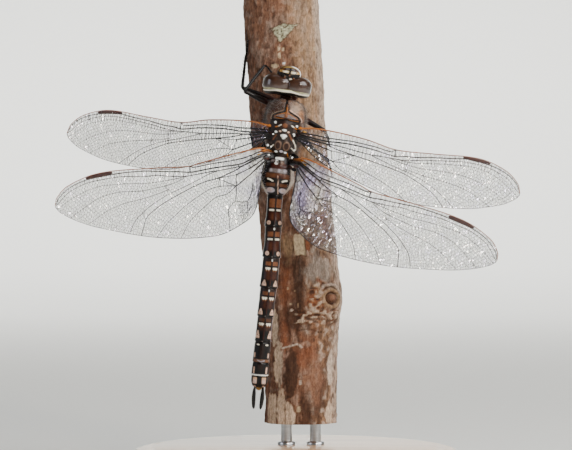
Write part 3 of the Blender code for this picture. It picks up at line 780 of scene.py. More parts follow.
# ---- thorax ----
# marks on the back of the thorax: colour, (across, along), (half width, half length), relief
THORAX_SPOTS = [
    ("dark_brown", (0.2, 4.6), (0.8, 0.75), 0.22), ("brown", (0.2, 4.7), (0.4, 0.4), 0.05),
    ("chitin_white", (-1.6, 4.3), (0.2, 0.24), 0.08), ("chitin_white", (2.3, 4.5), (0.2, 0.19), 0.08),
    ("chitin_white", (0.2, 5.5), (0.36, 0.2), 0.08), ("pink_cream", (-0.52, 5.75), (0.2, 0.16), 0.05),
    ("pink_cream", (0.95, 5.75), (0.2, 0.16), 0.05), ("chitin_white", (-1.3, 5.95), (0.22, 0.2), 0.08),
    ("chitin_white", (1.95, 5.95), (0.22, 0.15), 0.08), ("chitin_white", (0.2, 6.48), (0.56, 0.27), 0.2),
    ("chitin_white", (0.2, 6.78), (0.3, 0.27), 0.16), ("shoulder", (-0.55, 8.2), (0.6, 0.8), 0.22),
    ("shoulder", (0.9, 8.2), (0.6, 0.8), 0.22), ("dark_brown", (-0.55, 8.25), (0.42, 0.58), 0.0),
    ("dark_brown", (0.9, 8.25), (0.42, 0.58), 0.0), ("chitin_white", (-2.45, 8.35), (0.24, 0.24), 0.08),
    ("chitin_white", (-0.8, 9.32), (0.3, 0.16), 0.06), ("lilac", (0.15, 9.2), (0.36, 0.2), 0.06),
    ("chitin_white", (0.9, 9.32), (0.26, 0.16), 0.06), ("chitin_white", (-1.9, 9.85), (0.27, 0.25), 0.08),
    ("chitin_white", (2.1, 9.8), (0.25, 0.25), 0.08),
]
# lines there: colour, width, relief, points across and along
THORAX_LINES = [
    ("black", 0.46, -0.1, [(-0.05, -0.5), (-0.08, 1.1), (-0.2, 2.2)]),
    ("black", 0.24, -0.1, [(0.32, 1.0), (0.42, 2.0), (0.75, 2.3)]),
    ("brown", 0.3, 0.2, [(0.1, 1.1), (0.16, 2.0), (0.2, 3.1)]),
    ("orange", 0.14, 0.05, [(0.15, 1.5), (0.2, 3.1)]),
    ("pink_cream", 0.3, 0.1, [(0.7, 2.0), (1.35, 2.36), (2.15, 2.72), (2.68, 3.12), (2.85, 3.6)]),
    ("black", 0.34, 0.12, [(0.5, 2.15), (1.25, 2.55), (2.05, 2.9), (2.5, 3.3), (2.62, 3.7)]),
    ("tan", 0.26, 0.1, [(-0.35, 2.05), (-0.8, 2.32), (-1.6, 2.57), (-2.2, 3.0), (-2.4, 3.7)]),
    ("black", 0.38, 0.12, [(-0.2, 2.1), (-0.65, 2.45), (-1.45, 2.74), (-2.0, 3.12), (-2.15, 3.8)]),
    ("orange", 0.1, 0.06, [(-0.1, 2.45), (-0.7, 2.72), (-1.4, 2.98), (-1.85, 3.3)]),
    ("orange", 0.1, 0.06, [(0.5, 2.5), (1.15, 2.8), (1.9, 3.12), (2.25, 3.45)]),
    ("dark_brown", 0.32, 0.04, [(-1.6, 3.35), (-0.8, 3.45), (0.2, 3.5), (1.4, 3.5), (2.3, 3.5)]),
    ("orange", 0.07, 0.03, [(-1.6, 3.48), (-0.6, 3.55), (0.3, 3.62), (1.4, 3.66), (2.4, 3.66)]),
    ("black", 0.2, -0.08, [(-2.2, 3.85), (-1.0, 3.75), (0.2, 3.62), (1.4, 3.85), (2.5, 3.95)]),
    ("cream", 0.16, 0.08, [(-0.5, 4.62), (-0.8, 4.8), (-1.05, 4.95)]),
    ("orange", 0.16, 0.06, [(-1.05, 4.95), (-1.5, 5.1)]),
    ("cream", 0.18, 0.08, [(1.4, 4.55), (1.85, 4.8)]),
    ("orange", 0.18, 0.06, [(1.85, 4.8), (2.55, 5.1)]),
    ("brown", 0.3, 0.06, [(1.2, 6.15), (1.75, 7.0)]), ("brown", 0.22, 0.05, [(-1.2, 6.5), (-1.6, 7.3)]),
    ("cream", 0.2, 0.08, [(1.95, 7.0), (2.5, 7.8), (2.75, 8.7)]),
    ("cream", 0.15, 0.06, [(-1.4, 8.2), (-1.85, 8.7)]), ("cream", 0.16, 0.06, [(1.9, 8.4), (2.55, 8.9)]),
    ("orange", 0.18, 0.05, [(1.25, 9.4), (1.5, 9.9)]), ("brown", 0.2, 0.05, [(-1.2, 9.4), (-1.5, 9.8)]),
]


def thorax_frame():
    """Directions to the rear, to the insect's left and out of its back."""
    direction = (THORAX_REAR - THORAX_FRONT).normalized()
    left, up = frame_along(-direction)
    return direction, left, up


def thorax_section(along):
    """Centre of the thorax at a distance from its front, half width, rise and drop."""
    direction = thorax_frame()[0]
    sizes = (curve_value([(row[0], row[k]) for row in THORAX_FORM], max(0.0, along))
             for k in (1, 2, 3))
    return THORAX_FRONT + direction * along, *sizes


def thorax_tint(across, along, height, place):
    """Colour and relief of the thorax: shoulders, wing field and banded flanks."""
    relief_here = 0.0
    shade = wander(place, 1.1, 4.0)
    if height > 0.12:
        tint = painted(INK["shoulder"], ("grey", 0.35 * ramp(shade, -0.3, 0.4)),
                       ("brown", 0.5 * ramp(-shade, 0.0, 0.5)))
        # painted shade and light: the left shoulder is darkened and the right one made tan, as the light
        # falls from the right
        tint = painted(tint, ("dark_brown", 0.75 * spot(across, along, (-1.75, 1.6), (1.5, 1.5), 0.6)),
                       ("tan", 0.7 * spot(across, along, (1.9, 1.7), (1.1, 1.5), 0.6)),
                       ("orange", 0.4 * spot(across, along, (2.7, 2.5), (0.6, 0.9), 0.6)))
        sinus = (spot(across, along, (1.35, 3.1), (1.1, 0.42))
                 + spot(across, along, (-1.1, 3.1), (0.9, 0.42)))
        tint = painted(tint, ("grey", 0.8 * sinus))
        field = ramp(along, 3.5, 3.8) * (1 - ramp(abs(across - 0.15), 2.5, 3.0))
        tint = painted(tint, ("black", field * (0.93 - 0.2 * ramp(shade, 0.1, 0.4))))
        relief_here -= 0.12 * field
        for colour, centre, size, lift in THORAX_SPOTS:
            cover = spot(across, along, centre, size)
            tint = painted(tint, (colour, cover))
            relief_here += lift * spot(across, along, centre, size, 0.5)
        for colour, width, lift, points in THORAX_LINES:
            cover = stroke(across, along, points, width)
            tint = painted(tint, (colour, cover))
            relief_here += lift * cover
        tint = painted(tint, ("dark_brown", 1 - ramp(height, 0.12, 0.3)))
        return tint, relief_here
    # flanks: brown, with two pale slanting bands and dark seams between the plates
    slant = along + 1.6 * height
    tint = painted(INK["brown"], ("dark_brown", 0.4 * ramp(shade, 0.0, 0.4)))
    for middle in (2.6, 6.3):
        band = window(slant, middle - 0.62, middle + 0.62, 0.12) * window(height, -0.85, 0.08, 0.08)
        tint = painted(tint, ("olive", 0.9 * band))
        seams = (window(slant, middle - 0.84, middle - 0.7, 0.05)
                 + window(slant, middle + 0.7, middle + 0.84, 0.05))
        tint = painted(tint, ("black", 0.85 * seams))
        relief_here -= 0.1 * seams
    tint = painted(tint, ("tan", 0.7 * (1 - ramp(height, -0.98, -0.75))))
    tint = painted(tint, ("black", 0.8 * window(slant, 4.38, 4.56, 0.06)))
    return tint, relief_here


def build_thorax(material):
    """The shoulders, the field of plates between the wings and the flanks, in one shell."""
    left, up = thorax_frame()[1:]
    around, count = 132, 210
    length = THORAX_FORM[-1][0]

    def section(i):
        along = length * i / count
        centre, half_width, rise, drop = thorax_section(along)
        ring, colours = [], []
        for point in oval(centre, left, up, half_width, rise, drop, around, THORAX_SQUARENESS):
            outward = (point - centre).normalized()
            across = -(point - centre).dot(left)
            height = (point - centre).dot(up) / (rise if outward.dot(up) > 0 else drop)
            tint, lift = thorax_tint(across, along, height, point)
            ring.append(point + outward * (lift + 0.03 * wander(point, 0.5)))
            colours.append(tint)
        return ring, colours

    finish_piece("thorax_plates", loft(count, section), material, ("thorax",))


# ---- abdomen ----
def spine_lengths():
    """Distance of each point of the spine from the waist."""
    lengths = [0.0]
    for near, far in zip(SPINE, SPINE[1:]):
        lengths.append(lengths[-1] + (far - near).length)
    return lengths


def spine_frame(distance):
    """Centre of the abdomen a distance from the waist, and directions to the left and up."""
    stations = list(zip(spine_lengths(), SPINE))
    ahead, behind = (curve_value(stations, distance + step) for step in (-0.2, 0.2))
    left, up = frame_along((ahead - behind).normalized())
    return curve_value(stations, distance), left, up


def segment_place(distance):
    """Segment number, distance from its front edge, and its length."""
    front = 0.0
    for number, (length, _, _) in enumerate(ABDOMEN, start=1):
        if distance < front + length or number == len(ABDOMEN):
            return number, distance - front, length
        front += length


def abdomen_halves(distance):
    """Half width and half depth of the abdomen, eased over the step at each joint."""
    number, along, length = segment_place(distance)
    part = min(1.0, max(0.0, (along - GAP / 2) / (length - GAP)))
    _, widths, depths = ABDOMEN[number - 1]
    here = [curve_value(list(zip((0, 0.5, 1), sizes)), part) / 2 for sizes in (widths, depths)]
    if number > 1 and along < STEP_REACH:
        before = [ABDOMEN[number - 2][k][2] / 2 for k in (1, 2)]
        step = ramp(along, -STEP_REACH, STEP_REACH)
        here = [a + (b - a) * step for a, b in zip(before, here)]
    if number < len(ABDOMEN) and length - along < STEP_REACH:
        after = [ABDOMEN[number][k][0] / 2 for k in (1, 2)]
        step = ramp(along - length, -STEP_REACH, STEP_REACH)
        here = [a + (b - a) * step for a, b in zip(here, after)]
    return here


# bands of segments 3 to 7, from the front: brown from and to, pale bar from and to, spot from and to
SEGMENT_BANDS = {
    3: (0.80, 2.30, 2.58, 2.98, 4.55, 5.38), 4: (0.95, 1.80, 2.08, 2.50, 4.30, 5.15),
    5: (0.72, 1.40, 1.72, 2.20, 3.95, 4.95), 6: (0.65, 1.30, 1.60, 2.10, 3.70, 4.70),
    7: (0.30, 0.85, 1.05, 1.55, 2.40, 3.75),
}


def banded_tint(number, along, length, across):
    """Marks of segments 3 to 7 on the back."""
    brown_from, brown_to, bar_from, bar_to, spot_from, spot_to = SEGMENT_BANDS[number]
    side = abs(across)
    teeth = 0.12 * sin(side * 17) * (number > 4)
    taper = ramp(along, spot_from - 0.1, spot_to - 0.1)
    round_spot = number < 5
    spot_half = 0.1 + 0.25 * taper
    spot_middle = 1.0 if number < 7 else 1.08
    if round_spot:
        middle = (spot_from + spot_to) / 2
        patch = spot(side, along, (spot_middle, middle), (0.32, (spot_to - spot_from) / 2.3))
    else:
        patch = window(along, spot_from, spot_to) * (
            1 - ramp(abs(side - spot_middle), spot_half - 0.06, spot_half + 0.06))
    eyelet = spot(side, along, (spot_middle, (spot_from + 1.4 * spot_to) / 2.4), (0.12, 0.12), 0.4)
    block_edge = 1.12 - 0.05 * number / 7
    fade = 0.35 + 0.12 * (7 - number)
    marks = [
        ("dark_brown", 0.55 * window(along, 0.1, brown_from, 0.1) * (number > 3)),
        ("brown", window(along, brown_from, brown_to, 0.09) * window(side, 0.14, block_edge, 0.06)
         * (1.0 if number < 6 else 0.7 if number < 7 else 0.4)),
        ("red_brown", fade * window(along, bar_to, spot_from - 0.1, 0.35)
         * window(side, 0.1, 1.15, 0.12)),
        ("brown", 0.35 * fade * window(along, bar_to + 0.3, spot_from, 0.3)
         * window(side, 0.25, 0.75, 0.2)),
        ("red_brown", 0.7 * window(along, bar_to + 0.3, length - 0.5, 0.2) * (1 - ramp(side, 0.05, 0.14))),
        ("black", window(along, brown_to + 0.05, bar_from - 0.03, 0.05)),
        ("brown", 0.8 * window(along, bar_from, bar_to + 0.22 + teeth, 0.08)
         * window(side, 0.2, 1.08, 0.07) * (number > 4)),
        ("cream", window(along, bar_from + 0.04, bar_to - 0.08 + teeth, 0.06)
         * window(side, 0.22, 1.04, 0.06)),
        ("pink_cream", patch), ("brown", 0.7 * eyelet * patch),
        ("black", 0.9 * window(along, length - 0.3, length + 0.1, 0.05)),
        ("chitin_white", spot(across, along, (0.0, 0.48), (0.12, 0.2)) * (4 <= number <= 6)),
        ("grey", 0.6 * spot(across, along, (-0.12, length - 0.12), (0.14, 0.1))),
    ]
    return painted(INK["black"], *marks)


def waist_tint(distance, across):
    """Marks of the swollen first two segments on the back."""
    tint = painted(
        INK["black"],
        ("red_brown", 0.85 * window(distance, 1.15, 2.15, 0.15) * (1 - ramp(abs(across), 1.2, 1.5))),
        ("brown", 0.55 * window(distance, 0.7, 1.3, 0.2) * window(abs(across), 0.3, 0.9, 0.2)),
        ("grey", 0.75 * window(distance, 2.15, 2.85, 0.1) * (1 - ramp(abs(across), 1.4, 1.8))),
        ("lilac", 0.7 * spot(across, distance, (-1.3, 2.45), (0.22, 0.28), 0.4)),
        ("lilac", 0.7 * spot(across, distance, (0.12, 2.45), (0.26, 0.28), 0.4)),
        ("lilac", 0.7 * spot(across, distance, (1.2, 2.4), (0.3, 0.28), 0.4)),
        ("brown", 0.6 * window(distance, 2.95, 3.75, 0.1) * (1 - ramp(abs(across), 1.9, 2.3))),
        ("red_brown", 0.8 * window(distance, 3.1, 3.8, 0.15) * (1 - ramp(abs(across - 0.3), 0.5, 0.8))),
        ("brown", 0.65 * window(distance, 4.65, 5.2, 0.1) * window(abs(across), 0.35, 1.9, 0.12)),
        ("black", 0.85 * window(abs(across - 0.1), 0.12, 0.36, 0.05) * window(distance, 3.4, 6.5, 0.15)),
        ("pink_cream", 0.8 * stroke(across, distance, [(0.05, 3.4), (0.12, 4.6), (0.25, 6.4)], 0.13)),
    )
    for side in (-across, across):
        tint = painted(
            tint,
            ("black", window(distance, 3.9, 4.6, 0.12) * window(side, 0.75, 1.95, 0.12)),
            ("cream", stroke(side, distance, [(0.88, 4.3), (1.3, 4.1), (1.7, 4.02)], 0.24)),
            ("lilac", spot(side, distance, (1.08, 5.85), (0.72, 0.42))),
            ("pink_cream", 0.5 * spot(side, distance, (1.2, 5.8), (0.5, 0.28), 0.5)),
        )
    white = window(distance, 0.04, 0.5, 0.05) * (1 - ramp(abs(across), 0.74, 0.82))
    horseshoe = spot(across, distance, (-0.5, 1.0), (0.36, 0.42)) * (
        1 - spot(across, distance, (-0.36, 0.95), (0.17, 0.2)))
    return painted(tint, ("chitin_white", white), ("chitin_white", 0.9 * horseshoe))


def tail_tint(number, along, length, across):
    """Marks of segments 8 to 10 on the back."""
    side = abs(across)
    if number == 8:
        rim = window(along, length - 0.62, length - 0.05, 0.06)
        curve = [(-0.55, length - 0.4), (0, length - 0.15), (0.6, length - 0.4)]
        crescent = stroke(across, along, curve, 0.14)
        return painted(
            INK["black"], ("dark_brown", 0.5 * window(along, 0.6, 2.8, 0.5) * (1 - ramp(side, 0.1, 0.6))),
            ("cream", spot(side, along, (0.78, 0.5), (0.24, 0.14))),
            ("pink_cream", 0.9 * window(along, 1.95, 2.75, 0.15) * window(side, 1.08, 1.3, 0.06)),
            ("shoulder", 0.85 * rim), ("brown", 0.7 * rim * window(side, 0.8, 1.2, 0.08)),
            ("lilac", 0.9 * crescent), ("black", window(along, length - 0.1, length + 0.1, 0.04)))
    if number == 9:
        return painted(
            INK["black"], ("dark_brown", 0.5 * spot(across, along, (0, 0.7), (0.5, 0.6), 0.6)),
            ("pink_cream", window(along, 0.75, 1.9, 0.08) * window(side, 0.98, 1.22, 0.06)),
            ("chitin_white", 0.95 * window(along, length - 0.24, length + 0.1, 0.05)))
    inner = 0.36 + 0.5 * ramp(along, 1.45, 1.8)
    patch = window(along, 0.3, 1.4, 0.1) * window(side, inner + 0.1, 1.12, 0.07)
    return painted(
        INK["black"], ("pink_cream", patch), ("amber", 0.5 * patch * window(along, 0.25, 0.55, 0.15)),
        ("lilac", 0.35 * patch * window(along, 0.8, 1.4, 0.2)),
        ("pink_cream", 0.6 * window(along, 1.75, 2.15, 0.08) * window(side, 0.6, 1.0, 0.08)))


def abdomen_tint(distance, across, half_width, upness, place):
    """Colour of the abdomen; upness is 1 on the back, 0 on the flanks and -1 underneath."""
    number, along, length = segment_place(distance)
    # the pale flank band is the insect's own colour, but it reaches further in on the right, which is a
    # painted highlight from light falling from the right
    if number <= 2:
        tint = waist_tint(distance, across)
        edge = 0.6 + 0.22 * ramp(distance, 2.5, 6.2) if across > 0 else 0.87
    elif number <= 7:
        tint = banded_tint(number, along, length, across)
        edge = 0.9 if across > 0 else 0.98
    else:
        tint = tail_tint(number, along, length, across)
        edge = 0.96
    rounding = abs(across) / half_width
    flank = ramp(rounding, edge, edge + 0.05) if upness > 0 else 1.0
    waist = 1 - ramp(distance, 5.6, 6.6)
    pale = INK["lilac"].lerp(INK["pink_cream"], 0.35 + 0.4 * waist)
    pale = painted(pale, ("cream", 0.5 * waist), ("olive", 0.5 * waist * (across < 0)),
                   ("dark_brown", 0.5 * window(along, length * 0.42, length * 0.95, 0.3) * (number > 2)))
    tint = tint.lerp(pale, flank * window(upness, -0.42, 0.62, 0.05) * (0.55 if number > 8 else 0.95))
    under = 1 - ramp(upness, -0.55, -0.4)
    tint = painted(tint, ("dark_brown", under), ("tan", 0.6 * under * (1 - ramp(abs(across), 0.1, 0.25))),
                   ("black", 0.9 * window(upness, -0.5, -0.4, 0.04)))
    speckle = wander(place, 0.22, 11.0)
    return painted(tint, ("black", 0.25 * ramp(speckle, 0.1, 0.4)))


def build_abdomen(material):
    """All ten segments as one skin, stepped and grooved at each joint."""
    around, count = 96, 400
    joints = [sum(row[0] for row in ABDOMEN[:k]) for k in range(1, len(ABDOMEN))]

    def section(i):
        distance = 0.02 + (ABDOMEN_LENGTH - 0.1) * i / count
        centre, left, up = spine_frame(distance)
        half_width, half_depth = abdomen_halves(distance)
        number, along, _ = segment_place(distance)
        groove = sum(bump_at(distance, joint + 0.04, 0.085) for joint in joints)
        lip = sum(bump_at(distance, joint - 0.14, 0.1) for joint in joints)
        ridge = 0.0
        if number in SEGMENT_BANDS:
            ridge = bump_at(along, SEGMENT_BANDS[number][1] + 0.14, 0.07)
        closing = 1 - 0.35 * ramp(distance, ABDOMEN_LENGTH - 0.25, ABDOMEN_LENGTH - 0.05)
        roll = curve_value(BODY_ROLL, distance)
        ring, colours = [], []
        for point in oval(centre, left, up, half_width, half_depth, half_depth, around):
            offset = point - centre
            outward = offset.normalized()
            upness = offset.dot(up) / half_depth
            across = -offset.dot(left) - roll * max(0.0, upness)
            keel = bump_at(across, 0, 0.09) * (upness > 0.3) * (2 < number < 9)
            lift = (-0.1 * groove + 0.04 * lip + 0.035 * ridge + 0.035 * keel
                    + 0.02 * wander(Vector((point.x * 1.6, point.y, point.z * 0.8)), 0.5))
            ring.append(centre + offset * closing + outward * lift)
            colours.append(abdomen_tint(distance, across, half_width, upness, point))
        return ring, colours

    nodes = [f"abdomen_{k}" for k in range(1, len(ABDOMEN) + 1)]
    finish_piece("abdomen_skin", loft(count, section), material, nodes, sharp=70)


def build_tail_plates(material):
    """Leaf-shaped appendages with a raised midrib, the pad between them, and the ovipositor."""
    end, left, up = spine_frame(ABDOMEN_LENGTH)
    forward = left.cross(up)
    leaf = [(0.0, 0.42), (0.2, 0.8), (0.45, 1.0), (0.75, 0.9), (0.93, 0.62), (1.0, 0.16)]

    def plate_section(i, side):
        part = i / 40
        spread = curve_value(leaf, part) * APPENDAGE_WIDTH / 2
        bow = side * (0.72 + 0.08 * sin(pi * part) - 0.12 * part)
        centre = end - forward * (-0.12 + (APPENDAGE_LENGTH + 0.12) * part) + left * bow
        thick = 0.2 * (1 - 0.6 * part ** 3)
        ring, colours = [], []
        for point in oval(centre, left, up, spread, thick, thick, 28):
            over = (point - centre).dot(up) / thick
            across = (point - centre).dot(left) / spread
            midrib = bump_at(across, 0, 0.2) - 0.8 * bump_at(abs(across), 0.5, 0.2)
            ring.append(point + up * (0.06 * midrib * (over > 0) * sin(pi * min(1, part * 1.05))))
            # painted sheen: a faint grey over the outer half of each black plate
            colours.append(painted(INK["black"], ("grey", 0.08 * ramp(across * side, 0.2, 0.6)),
                                   ("dark_brown", 0.5 * (1 - ramp(part, 0.0, 0.12)))))
        return ring, colours

    # each plate takes the name of the solid that it replaces; those two names are swapped
    for side, name in ((-1, "appendage_left"), (1, "appendage_right")):
        plate = loft(40, lambda i: plate_section(i, side))
        finish_piece(f"tail_{name}", plate, material, (name,))

    pad = bmesh.new()
    bmesh.ops.create_uvsphere(pad, u_segments=28, v_segments=16, radius=1.0)
    for vert in pad.verts:
        x, y, z = vert.co
        vert.co = end + left * (0.55 * x) - forward * (0.02 + 0.5 * y) - up * (0.12 - 0.42 * z)
    bmesh.ops.recalc_face_normals(pad, faces=pad.faces)
    tint_points(pad, lambda co: INK["dark_brown"].lerp(INK["amber"], 0.45 + 0.5 * wander(co, 0.4)))
    finish_piece("tail_pad", pad, material)

    def ovipositor_section(i):
        part = i / 30
        half = curve_value([(0, 0.30), (0.35, 0.42), (0.75, 0.36), (1.0, 0.12)], part)
        place, left_here, up_here = spine_frame(ABDOMEN_LENGTH - 4.3 + OVIPOSITOR_LENGTH * part)
        centre = place - up_here * (1.8 - 0.2 * part)
        ring = [p + up_here * 0.08 * bump_at((p - centre).dot(left_here), 0, 0.06)
                for p in oval(centre, left_here, up_here, half, 0.3, 0.25, 24)]
        return ring, [INK["dark_brown"].lerp(INK["brown"], ramp(part, 0.5, 1.0))] * 24

    finish_piece("tail_ovipositor", loft(30, ovipositor_section), material,
                 ("ovipositor",))


# ---- head ----
def head_point(right, forward, up):
    """A point of the head from its place in the head's own frame."""
    return HEAD_CENTRE + HEAD_RIGHT * right + HEAD_FORWARD * forward + HEAD_UP * up


def head_place(point):
    """Right, forward and up of a point in the head's frame."""
    offset = point - HEAD_CENTRE
    return offset.dot(HEAD_RIGHT), offset.dot(HEAD_FORWARD), offset.dot(HEAD_UP)


def cut_flat(bm, point, outward):
    """Remove what lies beyond a plane and close the cut."""
    geometry = bm.verts[:] + bm.edges[:] + bm.faces[:]
    cut = bmesh.ops.bisect_plane(bm, geom=geometry, plane_co=point, plane_no=outward,
                                 clear_outer=True, dist=1e-5)
    rim = [item for item in cut["geom_cut"] if isinstance(item, bmesh.types.BMEdge)]
    bmesh.ops.contextual_create(bm, geom=rim)


def build_eyes(material):
    """Two swollen eyes that meet on the crown, cut flat where they join and behind."""
    def eye_tint(co):
        _, forward, up = head_place(co)
        # a grey cast over the rear half of each eye
        greyer_rear = 1 - ramp(forward + 0.3 * wander(co, 0.8), -0.6, 0.1)
        low = ramp(-up + 0.35 * wander(co, 1.5), -0.2, 1.6)
        rear = 1 - ramp(forward, EYE_REAR - 0.1, EYE_REAR + 0.02)
        return painted(INK["eye_top"], ("grey", 0.12 * greyer_rear), ("eye_low", low),
                       ("eye_rim", 0.8 * rear))

    for side, name in ((-1, "eye_left"), (1, "eye_right")):
        eye = bmesh.new()
        bmesh.ops.create_uvsphere(eye, u_segments=96, v_segments=64, radius=1.0)
        for vert in eye.verts:
            x, y, z = vert.co
            inner, rear = max(0.0, -side * x), max(0.0, -y)
            plump, deep = (max(0.0, 1 - part ** 4) ** 0.25 / max(1e-6, sqrt(abs(1 - part * part)))
                           for part in (inner, rear))
            reach_in = 1.2 if side < 0 and inner > 0 else 1.0
            vert.co = head_point(side * EYE_OFFSET.x + EYE_SIZE.x * x * deep * reach_in,
                                 EYE_OFFSET.y + EYE_SIZE.y * y * plump, EYE_SIZE.z * z * plump * deep)
        cut_flat(eye, head_point(EYE_SEAM + side * 0.02, 0, 0), -side * HEAD_RIGHT)
        cut_flat(eye, head_point(0, EYE_REAR - 0.17, 0), -HEAD_FORWARD)
        bmesh.ops.recalc_face_normals(eye, faces=eye.faces)
        finish_piece(f"head_{name}", tint_points(eye, eye_tint), material, (name,), sharp=40)


def face_tint(co):
    """The frons with its black T, and the paler face below it."""
    right, forward, up = head_place(co)
    right -= 0.15
    side = abs(right)
    tint = INK["frons"].lerp(INK["amber"], 0.8 * ramp(side, 0.9, 1.6) + 0.25 * wander(co, 0.5))
    top = ramp(up, 0.3, 0.8)
    bow = 2.84 - 0.1 * right * right
    # painted shade and highlight on the rim of the frons: dark brown all round, white on the right where
    # the light falls
    lit_and_shaded_rim = ramp(hypot(right / 2.05, (forward - 1.98) / 1.47), 0.87, 0.93) * ramp(up, -0.2, 0.3)
    marks = [
        ("cream", 0.7 * top * spot(side, forward, (0.75, 2.3), (0.5, 0.2), 0.5)),
        ("black", top * window(forward, bow - 0.3, bow + 0.26, 0.07) * (1 - ramp(side, 1.0, 1.25))),
        ("grey", 0.6 * top * window(forward, bow - 0.12, bow + 0.14, 0.06) * window(side, 0.2, 0.8, 0.1)),
        ("red_brown", 0.9 * top * spot(side, forward, (1.3, 2.72), (0.42, 0.22), 0.4)),
        ("black", top * window(forward, 1.2, bow, 0.05) * (1 - ramp(side, 0.16, 0.24))),
        ("black", top * (1 - ramp(forward - 0.1 * side, 1.96, 2.06))),
        ("dark_brown", 0.8 * lit_and_shaded_rim), ("chitin_white", lit_and_shaded_rim * ramp(right, -0.2, 0.7)),
        ("olive", 0.75 * (1 - ramp(up, -0.4, 0.2))),
        ("dark_brown", 0.8 * window(up, -0.62, -0.5, 0.05)),
        ("dark_brown", 0.8 * window(up, -1.42, -1.3, 0.05)),
        ("brown", 0.6 * (1 - ramp(up, -2.7, -2.2))),
        ("dark_brown", 0.8 * window(up, -2.3, -2.2, 0.04)),
    ]
    return painted(tint, *marks)


def build_face(material):
    """The frons, the plates of the face and the lips, grooved between."""
    columns = [[(-row[0], row[k]) for row in FACE_FORM] for k in (1, 2, 3)]
    top, bottom = -FACE_FORM[0][0], -FACE_FORM[-1][0]
    count = 90

    def section(i):
        part = max(0, i) / count
        down = top + (bottom - top) * (0.5 - 0.5 * cos(pi * part))
        half_width, rear, front = (curve_value(column, down) for column in columns)
        close = 1.0 if i < count else 0.75
        if i < 0:
            close = (i + 7.5) / 7.5
            down -= 0.14 * (1 - close * close)
        up = -down
        groove = sum(bump_at(up, level, 0.07) for level in (-0.56, -1.36, -2.25))
        centre = head_point(0, (rear + front) / 2, up)
        half_length = (front - rear) / 2 * close
        ring = oval(centre, HEAD_RIGHT, HEAD_FORWARD, half_width * close, half_length, half_length,
                    84, 2.3)
        ring = [point - (point - centre).normalized() * (0.09 * groove - 0.015 * wander(point, 0.3))
                for point in ring]
        return ring, [face_tint(point) for point in ring]

    finish_piece("head_face", loft(count, section, first=-7), material, ("face",))


def build_crown(material):
    """The black vertex between eyes and frons, its three ocelli and the pale occiput."""
    rings = []
    outline = [(-1.75, 1.62), (-1.2, 1.75), (0.1, 1.8), (1.3, 1.8), (1.95, 1.66), (1.3, 1.1),
               (0.75, 0.6), (0.38, 0.28), (0.1, 0.5), (-0.6, 0.95)]
    middle = Vector((0.15, 1.35))
    sides = 60
    for level, scale in ((1.1, 1.0), (1.8, 1.0), (2.2, 0.93), (2.38, 0.78), (2.46, 0.5), (2.5, 0.15)):
        ring = []
        for k in range(sides):
            spot_on = k / sides * len(outline)
            first, second = outline[int(spot_on)], outline[(int(spot_on) + 1) % len(outline)]
            flat = Vector(first).lerp(Vector(second), spot_on % 1)
            flat = middle + (flat - middle) * scale
            ring.append(head_point(flat.x, flat.y, level - 0.12 * flat.y + 0.1))
        rings.append(ring)

    def crown_tint(co):
        right, forward, _ = head_place(co)
        return painted(INK["black"],
                       ("cream", 0.9 * spot(right, forward, (0.42, 1.12), (0.26, 0.13), 0.4)),
                       ("tan", 0.5 * spot(right, forward, (-0.6, 1.5), (0.16, 0.1), 0.5)),
                       ("shoulder", 0.3 * ramp(wander(co, 0.4), 0.0, 0.5)))

    crown = skin(rings)
    bmesh.ops.subdivide_edges(crown, edges=crown.edges, cuts=1, use_grid_fill=True)
    bmesh.ops.smooth_vert(crown, verts=crown.verts, factor=0.4, use_axis_x=True, use_axis_y=True,
                          use_axis_z=True)
    bmesh.ops.recalc_face_normals(crown, faces=crown.faces)
    parts = [tint_points(crown, crown_tint)]
    for right, forward in ((-0.62, 1.28), (0.95, 1.3), (0.14, 1.72)):
        parts.append(ball(head_point(right, forward, 2.3), 0.16, INK["brown"]))
    occiput = bmesh.new()
    bmesh.ops.create_cone(occiput, cap_ends=True, segments=3, radius1=0.62, radius2=0.3, depth=0.5)
    bmesh.ops.subdivide_edges(occiput, edges=occiput.edges, cuts=3, use_grid_fill=True)
    for vert in occiput.verts:
        x, y, z = vert.co
        vert.co = head_point(0.48 + 0.8 * x, EYE_REAR - 0.05 + 0.42 * y, 2.36 + 0.5 * z)
    bmesh.ops.smooth_vert(occiput, verts=occiput.verts, factor=0.3, use_axis_x=True,
                          use_axis_y=True, use_axis_z=True)
    bmesh.ops.recalc_face_normals(occiput, faces=occiput.faces)
    parts.append(tint_points(occiput, lambda co: INK["pink_cream"]))
    finish_piece("head_crown", join(parts), material)


def build_capsule(material):
    """The back of the head: a pale raised rim behind the eyes and the black hollow nape."""
    rings, tints = [], []
    for forward, half_width, half_depth, colour in (
            (-1.62, 0.8, 0.8, "dark_brown"), (-1.72, 1.3, 1.2, "black"), (-1.74, 2.3, 1.8, "black"),
            (-1.72, 3.1, 2.25, "black"), (-1.66, 3.6, 2.5, "black"), (-1.5, 3.85, 2.66, "black"),
            (-1.37, 3.93, 2.71, "black"), (-1.32, 3.98, 2.75, "cream"), (-1.22, 4.06, 2.82, "cream"),
            (-1.13, 4.08, 2.84, "cream"), (-1.07, 4.06, 2.82, "eye_rim"), (-0.9, 3.9, 2.7, "eye_rim")):
        centre = head_point(0, forward, -0.1)
        waved = []
        for point in oval(centre, HEAD_RIGHT, HEAD_UP, half_width, half_depth, half_depth, 96, 2.15):
            right = head_place(point)[0]
            wave = (0.05 * cos(right * 2.1 + 0.6) + 0.1 * ramp(-right, 1.5, 3.5)
                    - 0.08 * bump_at(right, 0, 1.2))
            waved.append(point - HEAD_FORWARD * wave)
        rings.append(waved)
        tints.append([INK[colour]] * 96)
    finish_piece("head_capsule", skin(rings, tints), material, ("head",))
    front = head_point(0, NECK_FRONT, 0)
    rear = front - HEAD_FORWARD * NECK_LENGTH
    neck = tube([front.lerp(rear, part / 8) for part in range(9)],
                [0.95 + 0.08 * cos(part * pi) for part in range(9)], 32, INK["dark_brown"])
    finish_piece("head_neck", neck, material, ("neck",))


